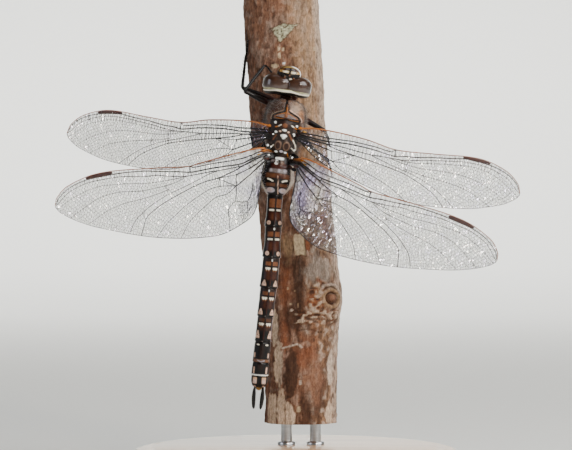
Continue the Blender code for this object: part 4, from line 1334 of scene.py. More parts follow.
def build_antennae(material):
    """Each feeler: two thick lower joints and a bristle."""
    for side, name in ((-1, "antenna_left"), (1, "antenna_right")):
        root, tip = (head_point(side * p.x, p.y, p.z) for p in (ANTENNA_ROOT, ANTENNA_TIP))
        foot = head_point(side * 0.8, 1.75, 2.1)
        points = [foot, root] + [root.lerp(tip, part) for part in (0.12, 0.2, 0.4, 0.6, 0.8, 0.98)]
        radii = [0.1, 0.11, 0.08, 0.05, 0.04, 0.032, 0.026, 0.016]
        finish_piece(f"feeler_{name[8:]}", tube(points, radii, 12, INK["black"]), material,
                     (name,))


# ---- legs ----
def bristle_row(start, end, outward, count, length, first=0.12, last=0.95):
    """A row of stiff bristles standing out from one side of a leg joint."""
    run = end - start
    bristles = []
    for i in range(count):
        part = first + (last - first) * i / max(1, count - 1)
        root = start.lerp(end, part)
        direction = (outward + run.normalized() * 0.75).normalized()
        tip = root + direction * length * (0.7 + 0.3 * sin(pi * part))
        bristles.append(tube([root, root.lerp(tip, 0.5), tip], [0.05, 0.034, 0.01], 5, INK["black"]))
    return bristles


def build_leg(name, material):
    """Coxa, trochanter, femur, tibia with its bristles, three foot joints and two claws."""
    coxa, hip, knee = (Vector(point) for point in LEGS[name][:3])
    ankle_place, toe_place = LEGS[name][3:]
    ankle = bark_point(ankle_place[0], radians(ankle_place[1]), FOOT_CLEARANCE + 0.2)
    toe = bark_point(toe_place[0], radians(toe_place[1]), FOOT_CLEARANCE)
    heel = bark_point((ankle_place[0] + toe_place[0]) / 2,
                      radians((ankle_place[1] + toe_place[1]) / 2), FOOT_CLEARANCE)
    if name in FOLDED_FEET:
        ankle, heel, toe = (bark_point(height, radians(bearing), FOOT_CLEARANCE + 0.05)
                            for height, bearing in FOLDED_FEET[name])
    breast = THORAX_FRONT.lerp(THORAX_REAR, (THORAX_FRONT.z - coxa.z) / 10.0)
    buried = coxa.lerp(breast, 0.45)
    parts = [
        tube([buried, coxa.lerp(buried, 0.5), coxa, coxa.lerp(hip, 0.55)], [0.75, 0.78, 0.62, 0.42],
             14, INK["brown"]),
        tube([coxa.lerp(hip, 0.4), hip, hip.lerp(knee, 0.06)], [0.42, 0.5, 0.38], 14, INK["dark_brown"]),
    ]
    thigh = [hip.lerp(knee, part) for part in (0.02, 0.1, 0.25, 0.45, 0.65, 0.85, 0.95, 1.0)]
    femur = tube(thigh, [0.34, 0.48, 0.54, 0.52, 0.46, 0.38, 0.4, 0.3], 14)
    length = (knee - hip).length

    def femur_tint(co):
        part = (co - hip).dot((knee - hip).normalized()) / length
        return INK["red_brown"].lerp(INK["black"], ramp(part + 0.15 * wander(co, 0.7), 0.1, 0.55))

    parts.append(tint_points(femur, femur_tint))
    shin = (ankle - knee).normalized()
    tibia = [knee - shin * 0.05] + [knee.lerp(ankle, part) for part in (0.06, 0.3, 0.6, 0.9, 0.99)]
    parts.append(tube(tibia, [0.2, 0.32, 0.27, 0.25, 0.27, 0.2], 12, INK["black"]))
    side_a, side_b = frame_along(shin, Vector((0, 1, 0)))
    for turn in (-0.75, 0.75):
        outward = side_a * sin(turn) - side_b * cos(turn)
        parts += bristle_row(knee, ankle, outward, 9, 0.95)
        parts += bristle_row(hip, knee, outward, 10, 0.5, 0.2)
    joints = [ankle, ankle.lerp(heel, 0.55), heel.lerp(toe, 0.25), toe]
    for start, end in zip(joints, joints[1:]):
        foot_joint = [start.lerp(end, part) for part in (0.0, 0.12, 0.6, 0.97)]
        parts.append(tube(foot_joint, [0.12, 0.2, 0.17, 0.21], 10, INK["black"]))
        to_bark = (branch_axis(start.z) - start).normalized()
        parts += bristle_row(start, end, to_bark, 3, 0.28, 0.3, 0.85)
    forward = (toe - heel).normalized()
    inward = (branch_axis(toe.z) - toe).normalized()
    across = forward.cross(inward)
    for side in (-1, 1):
        claw = [toe + forward * 0.1, toe + forward * 0.34 + across * side * 0.16,
                toe + forward * 0.5 + across * side * 0.22 + inward * 0.14,
                toe + forward * 0.48 + across * side * 0.2 + inward * 0.36]
        parts.append(tube(claw, [0.09, 0.07, 0.05, 0.015], 8, INK["black"]))
    replaced = [f"{name}_{joint}" for joint in ("femur", "tibia", "tarsus")]
    finish_piece(name + "_jointed", join(parts), material, replaced, sharp=60)


# ---- wings: main veins as (span, chord) points ----
VEINS = {
    "forewing": {
        "subcosta": [(0.3, 1.35), (4, 1.0), (6, 0.85), (8, 0.58), (10, 0.3), (14, 0.1), (17.2, 0.12),
                     (17.6, -0.4)],
        "radius": [(0.3, 1.7), (4, 1.62), (6, 1.45), (8, 1.1), (10, 0.85), (14, 0.65), (17.8, 0.75),
                   (19, 0.35), (21, 0.0), (24, -0.85), (26, -1.3), (28, -1.8), (29.3, -2.15),
                   (32, -2.35), (34, -2.35), (36, -2.1), (38, -1.45), (39.5, -0.5), (40.3, 0.5)],
        "sector": [(5.4, 1.95), (8, 1.75), (13.5, 1.65), (16, 1.35), (18.3, 1.12), (20, 0.85),
                   (22, 0.25), (24, -0.3), (26, -0.8), (28, -1.3), (30, -1.7), (32, -1.9),
                   (34, -1.85), (36, -1.5), (38, -0.8), (39.6, 0.4), (40.3, 0.8)],
        "first_between": [(18.4, 1.15), (21, 1.0), (24, 0.3), (26, -0.25), (28, -0.65), (30.5, -1.15),
                          (33, -1.2), (36, -0.6), (38.5, 0.6), (40.2, 1.6)],
        "second_between": [(17.0, 1.3), (20, 1.6), (23, 1.5), (26, 1.05), (29, 0.75), (32, 0.85),
                           (35, 1.5), (37.5, 2.5), (38.9, 3.2)],
        "third_between": [(20.0, 2.4), (23, 2.6), (26, 2.6), (29, 2.7), (32, 3.1), (34.5, 4.0),
                          (36.3, 4.7)],
        "rear_sector": [(13.5, 1.65), (16, 2.1), (18, 2.45), (21, 2.85), (24, 3.55), (26, 4.3),
                        (28, 5.3), (30.4, 6.75)],
        "median": [(5.4, 1.98), (8, 2.4), (12, 2.6), (16, 2.8), (20, 3.2), (22, 3.7), (24, 4.35),
                   (26, 5.2), (27.4, 6.2), (28.6, 7.2)],
        "stem": [(0.3, 2.0), (3, 2.0), (5.4, 2.0)],
        "cubital": [(0.3, 2.3), (3, 2.5), (6.9, 2.9)],
        "triangle_front": [(6.9, 2.9), (10.9, 2.62)],
        "triangle_side": [(6.9, 2.9), (7.5, 4.6)],
        "triangle_rear": [(7.5, 4.6), (10.9, 2.62)],
        "hind_median": [(7.5, 4.6), (10, 4.35), (13, 4.75), (16, 5.4), (19, 6.4), (21.8, 7.85)],
        "hind_cubital": [(7.5, 4.6), (9, 5.5), (11, 6.2), (13.2, 6.95)],
        "anal": [(0.3, 2.7), (2, 3.0), (4.5, 3.7), (7.5, 4.6)],
        "nodus": [(17.55, -0.4), (17.7, 0.15), (17.8, 0.75)],
    },
    "hindwing": {
        "subcosta": [(0.3, -1.15), (2, -0.95), (4, -0.6), (8, -0.7), (10, -0.85), (13.6, -0.95),
                     (13.9, -1.25)],
        "radius": [(0.3, -0.75), (2, -0.3), (5, 0.3), (8, 0.1), (10, -0.05), (14, -0.2), (16, -0.75),
                   (18, -1.2), (20, -1.7), (22, -2.2), (24, -2.5), (26, -2.75), (28, -2.85),
                   (32, -2.95), (34, -2.7), (36, -2.1), (38, -0.9), (38.7, 0.0)],
        "sector": [(5.4, 0.7), (7, 0.7), (10, 0.52), (13, 0.4), (15, 0.3), (18, -0.4), (20, -1.0),
                   (22, -1.25), (24, -1.65), (26, -2.1), (28, -2.3), (32, -2.4), (34, -2.1),
                   (36, -1.5), (38, -0.2), (38.7, 0.25)],
        "first_between": [(15, 0.4), (18, 0.3), (22, 0.0), (24, -0.4), (26, -0.8), (30, -1.3),
                          (32, -1.2), (34, -0.8), (36, -0.2), (38.5, 0.9)],
        "second_between": [(15.4, 0.6), (18, 1.1), (21, 1.15), (23.5, 1.1), (25, 0.8), (27, 0.45),
                           (30, 0.5), (32, 1.0), (34, 1.8), (37, 3.1)],
        "third_between": [(18.4, 1.9), (21, 2.3), (24, 2.5), (27, 2.6), (30, 3.2), (32.5, 4.2),
                          (34.2, 4.8)],
        "rear_sector": [(9, 0.6), (11, 0.85), (13, 1.4), (15, 1.9), (17, 2.35), (19, 2.8), (20, 3.15),
                        (22, 3.9), (24, 4.95), (25.5, 6.0), (27.2, 8.2)],
        "median": [(5.4, 1.0), (7, 1.4), (9.6, 1.88), (11.5, 1.95), (14, 2.35), (16, 2.9), (18, 3.45),
                   (20, 4.1), (22, 5.0), (23.5, 6.0), (25, 8.7)],
        "arculus": [(5.4, 0.3), (5.4, 1.0)],
        "stem": [(0.3, -0.4), (2.5, 0.2), (5.4, 0.85)],
        "cubital": [(0.3, 0.0), (3, 1.2), (6.2, 2.0)],
        "triangle_front": [(6.2, 2.0), (9.6, 1.88)],
        "triangle_side": [(6.2, 2.0), (6.6, 3.9)],
        "triangle_rear": [(6.6, 3.9), (9.6, 1.88)],
        "hind_median": [(6.6, 3.9), (9, 3.4), (11, 3.4), (13, 4.0), (16, 5.25), (18, 6.4), (20, 7.6),
                        (22.4, 9.65)],
        "hind_cubital": [(6.6, 3.9), (8.5, 4.9), (10.5, 5.05), (13, 6.3), (16, 8.2), (18.2, 10.7)],
        "anal": [(0.3, 0.3), (1.6, 1.2), (4, 2.6), (6.6, 3.9)],
        "loop_front": [(6.6, 3.9), (6.9, 5.2), (7.4, 6.5)],
        "loop_side": [(3.6, 4.0), (4.2, 5.6), (5.3, 6.9), (7.4, 6.5)],
        "first_anal": [(7.4, 6.5), (8.9, 7.8), (9.4, 11.2)],
        "second_anal": [(5.3, 6.9), (5.6, 8.8), (5.6, 10.0)],
        "nodus": [(13.85, -1.25), (14.0, -0.7), (14.1, -0.2)],
    },
}
# fields between the veins: upper line, lower line, span from and to, cell length, row height
FIELDS = {
    "forewing": [
        ("front", "subcosta", 1.2, 17.0, 0.95, 2.0), ("subcosta", "radius", 1.2, 17.2, 0.95, 2.0),
        ("front", "radius", 17.9, 39.8, 0.82, 2.0), ("radius", "sector", 5.8, 40.0, 0.8, 2.0),
        ("sector", "first_between", 18.6, 40.0, 0.62, 0.6),
        ("first_between", "second_between", 18.6, 39.6, 0.58, 0.56),
        ("second_between", "third_between", 20.4, 36.2, 0.58, 0.56),
        ("second_between", "rear_sector", 13.7, 20.4, 0.6, 0.6),
        ("third_between", "rear_sector", 20.2, 30.2, 0.56, 0.55),
        ("third_between", "rear", 30.5, 36.2, 0.56, 0.54),
        ("second_between", "rear", 36.4, 39.0, 0.56, 0.54),
        ("rear_sector", "rear", 28.8, 30.2, 0.56, 0.54),
        ("rear_sector", "median", 13.0, 28.6, 0.6, 0.9), ("sector", "median", 6.0, 13.6, 0.7, 1.0),
        ("radius", "stem", 1.2, 5.2, 1.3, 2.0), ("stem", "cubital", 1.0, 5.2, 1.6, 2.0),
        ("cubital", "anal", 1.5, 7.0, 0.8, 1.4), ("median", "triangle_front", 6.0, 10.6, 0.8, 2.0),
        ("median", "hind_median", 10.9, 21.6, 0.56, 0.54),
        ("median", "rear", 22.0, 28.4, 0.56, 0.54),
        ("triangle_rear", "hind_median", 7.6, 10.8, 0.6, 1.0),
        ("hind_median", "hind_cubital", 7.8, 13.0, 0.56, 0.6),
        ("hind_median", "rear", 13.4, 21.6, 0.54, 0.52),
        ("hind_cubital", "rear", 7.4, 13.2, 0.56, 0.54), ("anal", "rear", 1.4, 7.3, 0.66, 0.62),
        ("triangle_front", "triangle_rear", 7.6, 10.4, 0.8, 1.5),
    ],
    "hindwing": [
        ("front", "subcosta", 1.0, 13.4, 0.95, 2.0), ("subcosta", "radius", 1.0, 13.6, 0.95, 2.0),
        ("front", "radius", 14.2, 38.2, 0.82, 2.0), ("radius", "sector", 5.8, 38.4, 0.8, 2.0),
        ("sector", "first_between", 15.4, 38.4, 0.62, 0.6),
        ("first_between", "second_between", 16.0, 38.2, 0.58, 0.56),
        ("second_between", "third_between", 18.8, 34.1, 0.58, 0.56),
        ("second_between", "rear_sector", 15.4, 18.8, 0.58, 0.56),
        ("third_between", "rear_sector", 18.8, 27.0, 0.56, 0.55),
        ("third_between", "rear", 27.4, 34.1, 0.56, 0.54),
        ("second_between", "rear", 34.4, 37.2, 0.56, 0.54),
        ("rear_sector", "rear", 25.2, 27.0, 0.56, 0.54),
        ("rear_sector", "median", 9.2, 25.0, 0.6, 0.9), ("sector", "median", 5.6, 9.2, 0.7, 1.0),
        ("sector", "rear_sector", 9.4, 15.4, 0.66, 0.9), ("radius", "stem", 1.0, 5.2, 1.3, 2.0),
        ("stem", "cubital", 1.0, 5.4, 1.6, 2.0), ("cubital", "anal", 1.4, 6.4, 0.8, 1.2),
        ("median", "hind_median", 9.6, 22.2, 0.56, 0.54),
        ("median", "rear", 22.6, 24.9, 0.56, 0.54),
        ("triangle_rear", "hind_median", 6.9, 9.6, 0.6, 0.9),
        ("hind_median", "hind_cubital", 6.9, 18.0, 0.56, 0.54),
        ("hind_median", "rear", 18.4, 22.2, 0.56, 0.54),
        ("hind_cubital", "rear", 7.6, 18.2, 0.62, 0.62), ("anal", "rear", 1.2, 6.9, 0.66, 0.64),
        ("triangle_front", "triangle_rear", 6.9, 9.2, 0.8, 1.5),
        ("loop_side", "rear", 3.6, 7.4, 0.66, 0.64),
    ],
}
STIGMA = {"forewing": (29.3, 34.2), "hindwing": (27.6, 32.5)}   # span from and to
NODUS = {"forewing": 17.6, "hindwing": 13.9}
WING_START = 0.9    # the membrane begins this far out from the root
VEIN_RADIUS = {"subcosta": 0.085, "radius": 0.1, "sector": 0.07, "stem": 0.11, "cubital": 0.08,
               "anal": 0.085, "nodus": 0.11, "median": 0.075, "rear_sector": 0.06, "arculus": 0.08}
FINE_VEIN_RADIUS = 0.048
NET_THICKNESS = 0.095
MEMBRANE_THICKNESS = 0.012
CELL_LEAN = Vector((0.15, -0.95, 0.18)).normalized()   # the cells are cupped, facing up and right
CELL_SCATTER = 7.5    # degrees by which one cell's tilt strays from the next


def wing_line(kind, name, span):
    """Chord of a vein or an edge at a span."""
    if name == "front":
        return curve_value(FRONT_EDGE[kind], span) + 0.05
    if name == "rear":
        return curve_value(REAR_EDGE[kind], span) - 0.05
    points = VEINS[kind][name]
    return curve_value(points, min(max(span, points[0][0]), points[-1][0]))


def edge_places(kind, edge, first, count):
    """Places (span, chord) along an edge of the wing, closer together towards the tip."""
    tip = FRONT_EDGE[kind][-1][0] - 0.05
    spans = [first + (tip - first) * sin(pi / 2 * i / count) for i in range(count + 1)]
    return [(span, wing_line(kind, edge, span)) for span in spans]


def vein_places(line, low, pitch, least):
    """Places on a vein's smooth curve from a span on; a vein square to the span stays as it is."""
    high = line[-1][0]
    if abs(high - low) < 0.05:
        return line
    count = max(least, int((high - low) / pitch))
    spans = [low + (high - low) * i / count for i in range(count + 1)]
    return [(span, curve_value(line, span)) for span in spans]


def wing_network(kind):
    """The wing's cells as flat faces at (span, chord), from its veins and rows of cross-veins."""
    points, edges = [], []

    def add_line(places):
        """One chain of points and edges for the net."""
        first = len(points)
        points.extend(Vector(place) for place in places)
        edges.extend((k, k + 1) for k in range(first, len(points) - 1))

    front, rear = (edge_places(kind, edge, WING_START, 90) for edge in ("front", "rear"))
    add_line(front + rear[::-1] + front[:1])
    for line in VEINS[kind].values():
        add_line(vein_places(line, max(line[0][0], WING_START), 0.45, 2))

    for upper, lower, low, high, pitch, row_height in FIELDS[kind]:
        columns = max(1, round((high - low) / (pitch / 2)))
        before = None
        for k in range(columns + 1):
            span = low + (high - low) * k / columns
            top = wing_line(kind, upper, span)
            bottom = min(wing_line(kind, lower, span), wing_line(kind, "rear", span))
            top = max(top, wing_line(kind, "front", span))
            gap = bottom - top
            if gap < 0.1:
                before = None
                continue
            rows = max(1, round(gap / row_height))
            here = [(span, top + gap * j / rows) for j in range(rows + 1)]
            for j in range(1, rows):
                pull = 0.16 * gap / rows * (-1 if (k + j) % 2 else 1)
                wobble = 0.07 * sin(5.3 * span + 2.9 * j) * gap / rows
                here[j] = (span + 0.06 * sin(7.7 * j + 3.1 * span), here[j][1] + pull + wobble)
            for j in range(rows):
                if rows == 1 and k % 2 or rows > 1 and (k + j) % 2 == 0:
                    continue
                lean = 0.12 * gap if rows == 1 else 0.0
                add_line([(here[j][0] - lean, here[j][1]), (here[j + 1][0] + lean, here[j + 1][1])])
            if before and rows > 1 or before and len(before) > 2:
                longer, shorter = (here, before) if len(here) >= len(before) else (before, here)
                for j in range(1, len(longer) - 1):
                    match = round(j * (len(shorter) - 1) / (len(longer) - 1))
                    add_line([longer[j], shorter[match]])
            before = here
    verts, _, faces, _, _, _ = delaunay_2d_cdt(points, edges, [], 2, 0.02)
    bm = bmesh.new()
    made = [bm.verts.new((place.x, place.y, 0)) for place in verts]
    for face in faces:
        if len(face) > 2:
            bm.faces.new([made[k] for k in face])
    outside = []
    for face in bm.faces:
        middle = face.calc_center_median()
        ahead = middle.y < wing_line(kind, "front", middle.x) - 0.02
        behind = middle.y > wing_line(kind, "rear", middle.x) + 0.02
        if ahead or behind or face.calc_area() < 0.0015:
            outside.append(face)
    bmesh.ops.delete(bm, geom=outside, context="FACES")
    bmesh.ops.recalc_face_normals(bm, faces=bm.faces)
    return bm


def wing_axes(name):
    """Root of a wing and its directions along, to the rear and out of its upper face."""
    near, far = WINGS[name]
    along = (far - near).normalized()
    chordwise = Vector((along.z, 0, -along.x)).normalized()
    if chordwise.z > 0:
        chordwise = -chordwise
    raised = along.cross(chordwise).normalized()
    if raised.y > 0:
        raised = -raised
    rake = radians(WING_RAKE[name])
    return near, along, chordwise * cos(rake) - along * sin(rake), raised


def lay_wing(bm, name):
    """Move a flat wing mesh at (span, chord, lift) to its place, with the wing's corrugation."""
    kind = name.split("_")[0]
    near, along, chordwise, raised = wing_axes(name)
    for vert in bm.verts:
        span, chord, lift = vert.co
        behind = chord - wing_line(kind, "front", span)
        pleat = 0.13 * cos(2 * pi * behind / 1.5) * exp(-max(0.0, behind) / 2.4) * (1 - span / 55)
        settle = ROOT_SETTLE[kind] * max(0.0, 1 - span / 3.2) ** 2
        vert.co = near + along * span + chordwise * chord + raised * (lift + pleat - settle)
    bmesh.ops.recalc_face_normals(bm, faces=bm.faces)
    return bm


def vein_tint(kind, co):
    """Orange and brown towards the front edge, black at the root, dark red at the stigma."""
    span, chord, _ = co
    behind = chord - wing_line(kind, "front", span)
    warm = wander(co, 2.0, 3.0)
    tint = INK["black"].lerp(INK["vein_brown"], ramp(span + 4 * warm, 8, 20))
    front = 1 - ramp(behind, 0.12, 0.24)
    inner = (0.7 if kind == "forewing" else 0.45) * (1 - ramp(span, 5, 12))
    nodus = bump_at(span, NODUS[kind], 0.35) * (1 - ramp(behind, 1.0, 1.6))
    return painted(tint, ("vein_pink", 0.85 * front), ("orange", front * inner),
                   ("orange", 0.7 * (1 - ramp(span, 0.9, 2.2)) * (1 - ramp(behind, 0.3, 0.9))),
                   ("black", 0.9 * nodus))


def vein_tubes(kind):
    """The main veins and the two edges as tubes that taper towards the tip."""
    tubes = []
    for vein, line in VEINS[kind].items():
        low = line[0][0]
        places = [Vector((*place, 0)) for place in vein_places(line, low, 0.5, 3)]
        places = [place for place in places if place.y < wing_line(kind, "rear", place.x) + 0.02]
        if low < 0.5:
            places.insert(0, Vector((-0.7, 0.8 * places[0].y + 0.2, 0)))
        if len(places) < 2:
            continue
        base = 1.35 * VEIN_RADIUS.get(vein, FINE_VEIN_RADIUS)
        radii = [base * (1 - 0.55 * place.x / 42) + 0.05 * exp(-place.x / 2.0) for place in places]
        tubes.append(tube(places, radii, 6))
    for edge, first, radius in (("front", 0.3, 0.12), ("rear", 0.95, 0.08)):
        line = edge_places(kind, edge, first, 80)
        radii = [radius * (1 - 0.5 * span / 42) + 0.05 * exp(-span / 3.5) for span, _ in line]
        tubes.append(tube([Vector((*place, 0)) for place in line], radii, 6))
    return tubes


def stigma_plate(kind):
    """The dark thickened cell near the tip, between the front edge and the radius."""
    low, high = STIGMA[kind]
    rings = []
    for i in range(25):
        part = i / 24
        span = low + (high - low) * part
        top, bottom = wing_line(kind, "front", span), wing_line(kind, "radius", span)
        ends = min(1.0, 5 * part, 5 * (1 - part)) * 0.4 + 0.6
        rings.append(oval(Vector((span, (top + bottom) / 2, 0)), Vector((0, 1, 0)),
                          Vector((0, 0, 1)), (bottom - top) / 2 * ends, 0.07, 0.07, 12, 3.0))
    return skin(rings)


def tilt_cells(membrane, name):
    """Part the cells and tilt each a little its own way, so that they catch the light singly."""
    chance = Random(len(name) * 7 + ord(name[-1]))
    bmesh.ops.split_edges(membrane, edges=membrane.edges)
    _, along, chordwise, raised = wing_axes(name)
    outwards = max(0.2, CELL_LEAN.dot(raised))
    lean_x = -0.8 * atan2(CELL_LEAN.dot(chordwise), outwards)
    lean_y = 0.8 * atan2(CELL_LEAN.dot(along), outwards)
    for face in membrane.faces:
        middle = face.calc_center_median()
        tilt = Matrix.Rotation(lean_x + radians(chance.gauss(0, CELL_SCATTER)), 3, "X")
        tilt = tilt @ Matrix.Rotation(lean_y + radians(chance.gauss(0, CELL_SCATTER)), 3, "Y")
        for vert in face.verts:
            vert.co = middle + tilt @ (vert.co - middle)


def build_wing(name, vein_finish, membrane_finish):
    """One wing: tapered main veins, the fine net, the stigma, and a membrane of tilted cells."""
    kind = name.split("_")[0]
    cells = wing_network(kind)
    membrane = cells.copy()

    bmesh.ops.wireframe(cells, faces=cells.faces, thickness=NET_THICKNESS, use_replace=True,
                        use_boundary=True, use_even_offset=False)
    cells.verts.layers.float_color.new("tint")
    parts = [cells] + vein_tubes(kind)
    stigma = stigma_plate(kind)
    net = [tint_points(part, lambda co: vein_tint(kind, co)) for part in parts]
    net.append(tint_points(stigma, lambda co: INK["stigma"].lerp(INK["brown"], 0.3 * wander(co, 0.8))))
    finish_piece(f"{name}_veins", lay_wing(join(net), name), vein_finish, (name,))

    tilt_cells(membrane, name)
    bmesh.ops.solidify(membrane, geom=membrane.faces, thickness=MEMBRANE_THICKNESS)
    veil_and_sheen = membrane.verts.layers.float.new("veil_and_sheen")
    for vert in membrane.verts:
        span, chord, _ = vert.co
        # painted reflection: the veil is strengthened near the hindwing root for the grey-violet sheen of
        # the sky on it
        painted_sky_sheen = 0.3 * (1 - ramp(hypot(span, 0.6 * chord), 4.0, 11.0)) * (kind == "hindwing")
        vert[veil_and_sheen] = 0.09 + painted_sky_sheen + 0.03 * wander(vert.co, 3.0)
    finish_piece(f"{name}_membrane", lay_wing(membrane, name), membrane_finish, sharp=20)


# small plates at a wing's root: span, chord, half length, half width, colour
HINGE_PLATES = [
    (0.6, 0.55, 0.4, 0.2, "orange"), (0.45, 1.25, 0.6, 0.32, "black"),
    (-0.9, 0.5, 0.9, 0.5, "black"), (-0.9, 1.6, 0.9, 0.5, "black"), (-0.6, 2.6, 0.7, 0.4, "dark_brown"),
    (0.4, 1.9, 0.6, 0.34, "red_brown"), (0.35, 2.6, 0.5, 0.34, "black"),
    (1.5, 1.0, 0.4, 0.2, "amber"), (-0.2, 1.5, 0.5, 0.4, "black"),
]
# pale knobs over the back between the wings: x, height, radius
BACK_KNOBS = [
    (-4.95, 58.45, 0.19), (-4.35, 58.2, 0.15), (-4.75, 56.75, 0.2), (-0.7, 56.3, 0.19),
    (-0.35, 60.1, 0.15), (-4.0, 60.4, 0.15), (-0.3, 57.6, 0.14),
]


def build_wing_hinges(material):
    """The small hard plates that carry the wings, orange to black, over the sides of the back."""
    parts = []
    for name in WINGS:
        shift = 0.0 if name.startswith("forewing") else -1.6
        for span, chord, long, wide, colour in HINGE_PLATES:
            lump = bmesh.new()
            bmesh.ops.create_uvsphere(lump, u_segments=20, v_segments=12, radius=1.0)
            for vert in lump.verts:
                x, y, z = vert.co
                vert.co = (span + x * long, chord + shift + y * wide, z * 0.3 - 0.12)
            parts.append(tint_points(lay_wing(lump, name), lambda co, ink=colour: INK[ink].lerp(
                INK["black"], ramp(wander(co, 0.45), 0.05, 0.3))))
    for x, height, radius in BACK_KNOBS:
        parts.append(ball((x, -17.95, height), radius, INK["chitin_white"]))
    finish_piece("wing_hinge_plates", join(parts), material)


# ---- body hair ----
THORAX_HAIRS = 6400
WAIST_HAIRS = 1500


def build_hair(material):
    """Fine hair on the shoulders, flanks and waist; each hair has its root's place in OFBake."""
    direction, left, up = thorax_frame()
    chance = Random(31)
    hairs = bmesh.new()
    layer = hairs.verts.layers.float_color.new("tint")
    bake = hairs.loops.layers.uv.new("OFBake")

    def add_hair(root, outward, lean, length, radius, colour, patch):
        """A bent three-sided bristle; patch is its place in OFBake."""
        side_a, side_b = frame_along(outward, Vector((0.3, 0.2, 0.93)))
        middle = root + outward * length * 0.55 + lean * length * 0.2
        tip = root + outward * length * 0.85 + lean * length * 0.62
        rows = []
        for place, size in ((root - outward * 0.04, radius), (middle, radius * 0.75)):
            rows.append([hairs.verts.new(place + (side_a * cos(turn) + side_b * sin(turn)) * size)
                         for turn in (0, 2.1, 4.2)])
        point = hairs.verts.new(tip)
        for vert in rows[0] + rows[1] + [point]:
            vert[layer] = (*colour, 1.0)
        faces = [hairs.faces.new(rows[0][::-1])]
        for k in range(3):
            n = (k + 1) % 3
            faces.append(hairs.faces.new((rows[0][k], rows[0][n], rows[1][n], rows[1][k])))
            faces.append(hairs.faces.new((rows[1][k], rows[1][n], point)))
        for face in faces:
            for corner, loop in enumerate(face.loops):
                turn = corner / len(face.loops) * 2 * pi
                loop[bake].uv = (patch[0] + 0.0015 * cos(turn), patch[1] + 0.0015 * sin(turn))

    grown = 0
    while grown < THORAX_HAIRS:
        along = chance.uniform(-0.1, 9.8)
        turn = chance.uniform(0, 2 * pi)
        height = sin(turn)
        if height > 0.55 and along > 3.4:
            continue
        if height > 0.2 and chance.random() < (0.75 if along > 4.2 else 0.5):
            continue
        centre, half_width, rise, drop = thorax_section(along)
        across, over = (copysign(abs(part) ** (2 / THORAX_SQUARENESS), part)
                        for part in (cos(turn), height))
        root = centre + left * half_width * across + up * (rise if over > 0 else drop) * over
        if abs((root - centre).dot(left) + 0.15) < 0.35 and height > 0 and chance.random() < 0.8:
            continue
        outward = (root - centre).normalized()
        lean = direction * 0.6 + left * chance.gauss(0, 0.35) + up * chance.gauss(0, 0.2)
        outward = (outward + Vector([chance.gauss(0, 0.16) for _ in range(3)])).normalized()
        colour = INK["tan"].lerp(INK["grey"], chance.random()) * chance.uniform(0.3, 0.7)
        # painted shade: hairs over the left of the back are darkened, on the side away from the light
        colour *= 0.45 if cos(turn) > -0.2 and height > 0 else 1.0
        length = chance.uniform(0.45, 0.95) * (1.0 if height < 0.4 else 0.75)
        patch = (0.01 + 0.48 * turn / (2 * pi), 0.01 + 0.98 * (along + 0.1) / 9.9)
        add_hair(root, outward, lean, length, chance.uniform(0.011, 0.019), colour, patch)
        grown += 1
    grown = 0
    while grown < WAIST_HAIRS:
        distance = chance.uniform(0.1, 6.2)
        turn = chance.uniform(0, 2 * pi)
        if sin(turn) > 0.75:
            continue
        centre, left_here, up_here = spine_frame(distance)
        half_width, half_depth = abdomen_halves(distance)
        root = centre + left_here * half_width * cos(turn) + up_here * half_depth * sin(turn)
        outward = (root - centre).normalized() + Vector([chance.gauss(0, 0.15) for _ in range(3)])
        forward = left_here.cross(up_here)
        patch = (0.51 + 0.48 * turn / (2 * pi), 0.01 + 0.98 * distance / 6.3)
        colour = INK["tan"].lerp(INK["lilac"], chance.random()) * chance.uniform(0.75, 1.1)
        length = chance.uniform(0.25, 0.5)
        add_hair(root, outward.normalized(), -forward * 0.5, length, 0.011, colour, patch)
        grown += 1
    finish_piece("body_hair_coat", hairs, material, sharp=180)


# ---- display, in metres ----
FLOOR_HALF = 3.0
# the floor from the front to the back, where it sweeps up: y, height
FLOOR_SWEEP = [(-FLOOR_HALF, 0.0), (0.9, 0.0), (1.3, 0.02), (1.6, 0.09), (1.78, 0.25), (1.82, 0.5),
               (1.82, 1.6)]
LIGHT_TARGET = Vector((-0.002, -0.012, 0.046))
# lights: name, place, size, watts, colour
LIGHTS = [
    ("key_softbox", (0.20, -0.50, 0.24), 0.06, 1.25, "#fff4e6"),
    ("side_softbox", (0.38, -0.24, 0.36), 0.52, 5.2, "#ffffff"),
    ("fill_softbox", (-0.46, -0.16, 0.20), 0.22, 0.5, "#e8f0ff"),
    ("backdrop_wash", (0.0, 0.75, 1.90), 0.90, 24.0, "#ffffff"),
    ("front_floor_wash", (0.0, -1.9, 1.5), 0.90, 6.0, "#ffffff"),
    ("left_floor_wash", (-1.9, 0.0, 1.5), 0.90, 12.0, "#ffffff"),
    ("right_floor_wash", (1.9, 0.0, 1.5), 0.90, 12.0, "#ffffff"),
]
CAMERA_PLACE = (-1.75 * MM, -515 * MM, 44.58 * MM)
CAMERA_LENS = 179.8    # millimetres, on a sensor 36 wide


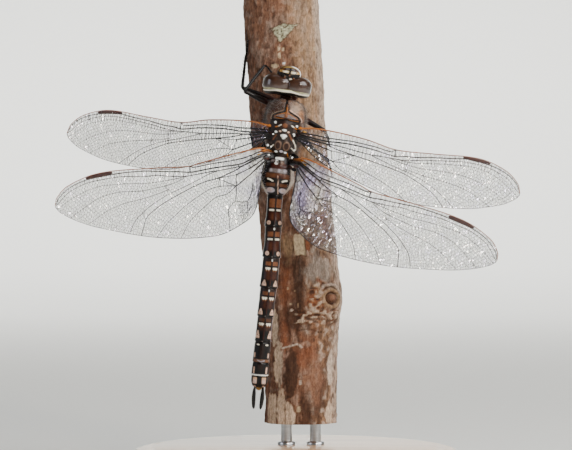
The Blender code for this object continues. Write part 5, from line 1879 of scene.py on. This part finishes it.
def build_floor():
    """Pale matt paper that sweeps up behind."""
    floor = bmesh.new()
    points = [floor.verts.new((-FLOOR_HALF, y, z)) for y, z in FLOOR_SWEEP]
    edges = [floor.edges.new(pair) for pair in zip(points, points[1:])]
    swept = bmesh.ops.extrude_edge_only(floor, edges=edges)
    moved = [item for item in swept["geom"] if isinstance(item, bmesh.types.BMVert)]
    bmesh.ops.translate(floor, vec=(2 * FLOOR_HALF, 0, 0), verts=moved)
    bmesh.ops.recalc_face_normals(floor, faces=floor.faces)
    mesh = bpy.data.meshes.new("studio_floor")
    floor.to_mesh(mesh)
    floor.free()
    mesh.shade_smooth()
    paper, tree, shader = new_material("matt_background_paper", 0.95, Specular_IOR_Level=0.2)
    fibre = node(tree, "TexNoise", {"Vector": (node(tree, "TexCoord"), "Object"), "Scale": 400.0})
    colours = node(tree, "ValToRGB", {"Fac": (fibre, "Fac")})
    set_stops(colours, (0, "#ecece6"), (1, "#f1f1ec"))
    plug(tree, shader, {"Base Color": (colours, "Color")})
    mesh.materials.append(paper)
    obj = bpy.data.objects.new("studio_floor", mesh)
    bpy.context.scene.collection.objects.link(obj)


def build_lights():
    """Soft studio light: a key, a side light and a fill, washes on the floor, and a dim sky."""
    world = bpy.data.worlds.new("studio")
    world.use_nodes = True
    sky = world.node_tree
    place = node(sky, "TexCoord")
    parts = node(sky, "SeparateXYZ", {"Vector": (place, "Generated")})
    level = node(sky, "MapRange", {"Value": (parts, "Z"), "From Min": 0.12, "From Max": 0.3,
                                   "To Min": 0.35, "To Max": 0.1})
    plug(sky, sky.nodes["Background"], {"Color": (*linear("#eef2f4"), 1),
                                        "Strength": (level, "Result")})
    bpy.context.scene.world = world

    for name, place, size, watts, colour in LIGHTS:
        lamp = bpy.data.lights.new(name, "AREA")
        lamp.size = size
        lamp.energy = watts
        lamp.color = linear(colour)
        wash = name.endswith("wash")
        lamp.spread = radians(90 if wash else 180)
        light = bpy.data.objects.new(name, lamp)
        light.location = place
        aim = LIGHT_TARGET
        if wash and place[1] <= 0:
            aim = Vector((place[0] * 1.25, place[1] * 1.25, 0.0))
        elif wash:
            aim = Vector((0, 1.7, 0.1))
        light.rotation_euler = (aim - Vector(place)).to_track_quat("-Z", "Y").to_euler()
        bpy.context.scene.collection.objects.link(light)


def build_camera():
    """The camera, level and straight on."""
    lens = bpy.data.cameras.new("main_camera")
    lens.sensor_width = 36.0
    lens.lens = CAMERA_LENS
    lens.clip_start = 0.01
    camera = bpy.data.objects.new("main_camera", lens)
    camera.location = CAMERA_PLACE
    camera.rotation_euler = (pi / 2, 0, 0)
    bpy.context.scene.collection.objects.link(camera)
    bpy.context.scene.camera = camera


def main():
    """Build the display, the branch and stand, and the insect from its thorax outwards."""
    build_floor()
    build_lights()
    build_camera()
    body = cuticle_material("abdomen_cuticle", 0.3, 0.28, coat=0.12)
    chest = cuticle_material("thorax_cuticle", 0.45, 0.4, coat=0.05)
    face = cuticle_material("face_cuticle", 0.36, 0.3)
    legs = cuticle_material("leg_cuticle", 0.32, 0.25)
    veins = vein_material()
    build_perch(bark_material(), cut_wood_material())
    build_stand(maple_material(), steel_material())
    build_thorax(chest)
    build_abdomen(body)
    build_tail_plates(body)
    build_eyes(eye_material())
    build_face(face)
    build_crown(face)
    build_capsule(face)
    build_antennae(legs)
    for name in LEGS:
        build_leg(name, legs)
    membrane = membrane_material()
    for name in WINGS:
        build_wing(name, veins, membrane)
    build_wing_hinges(face)
    build_hair(hair_material())


main()
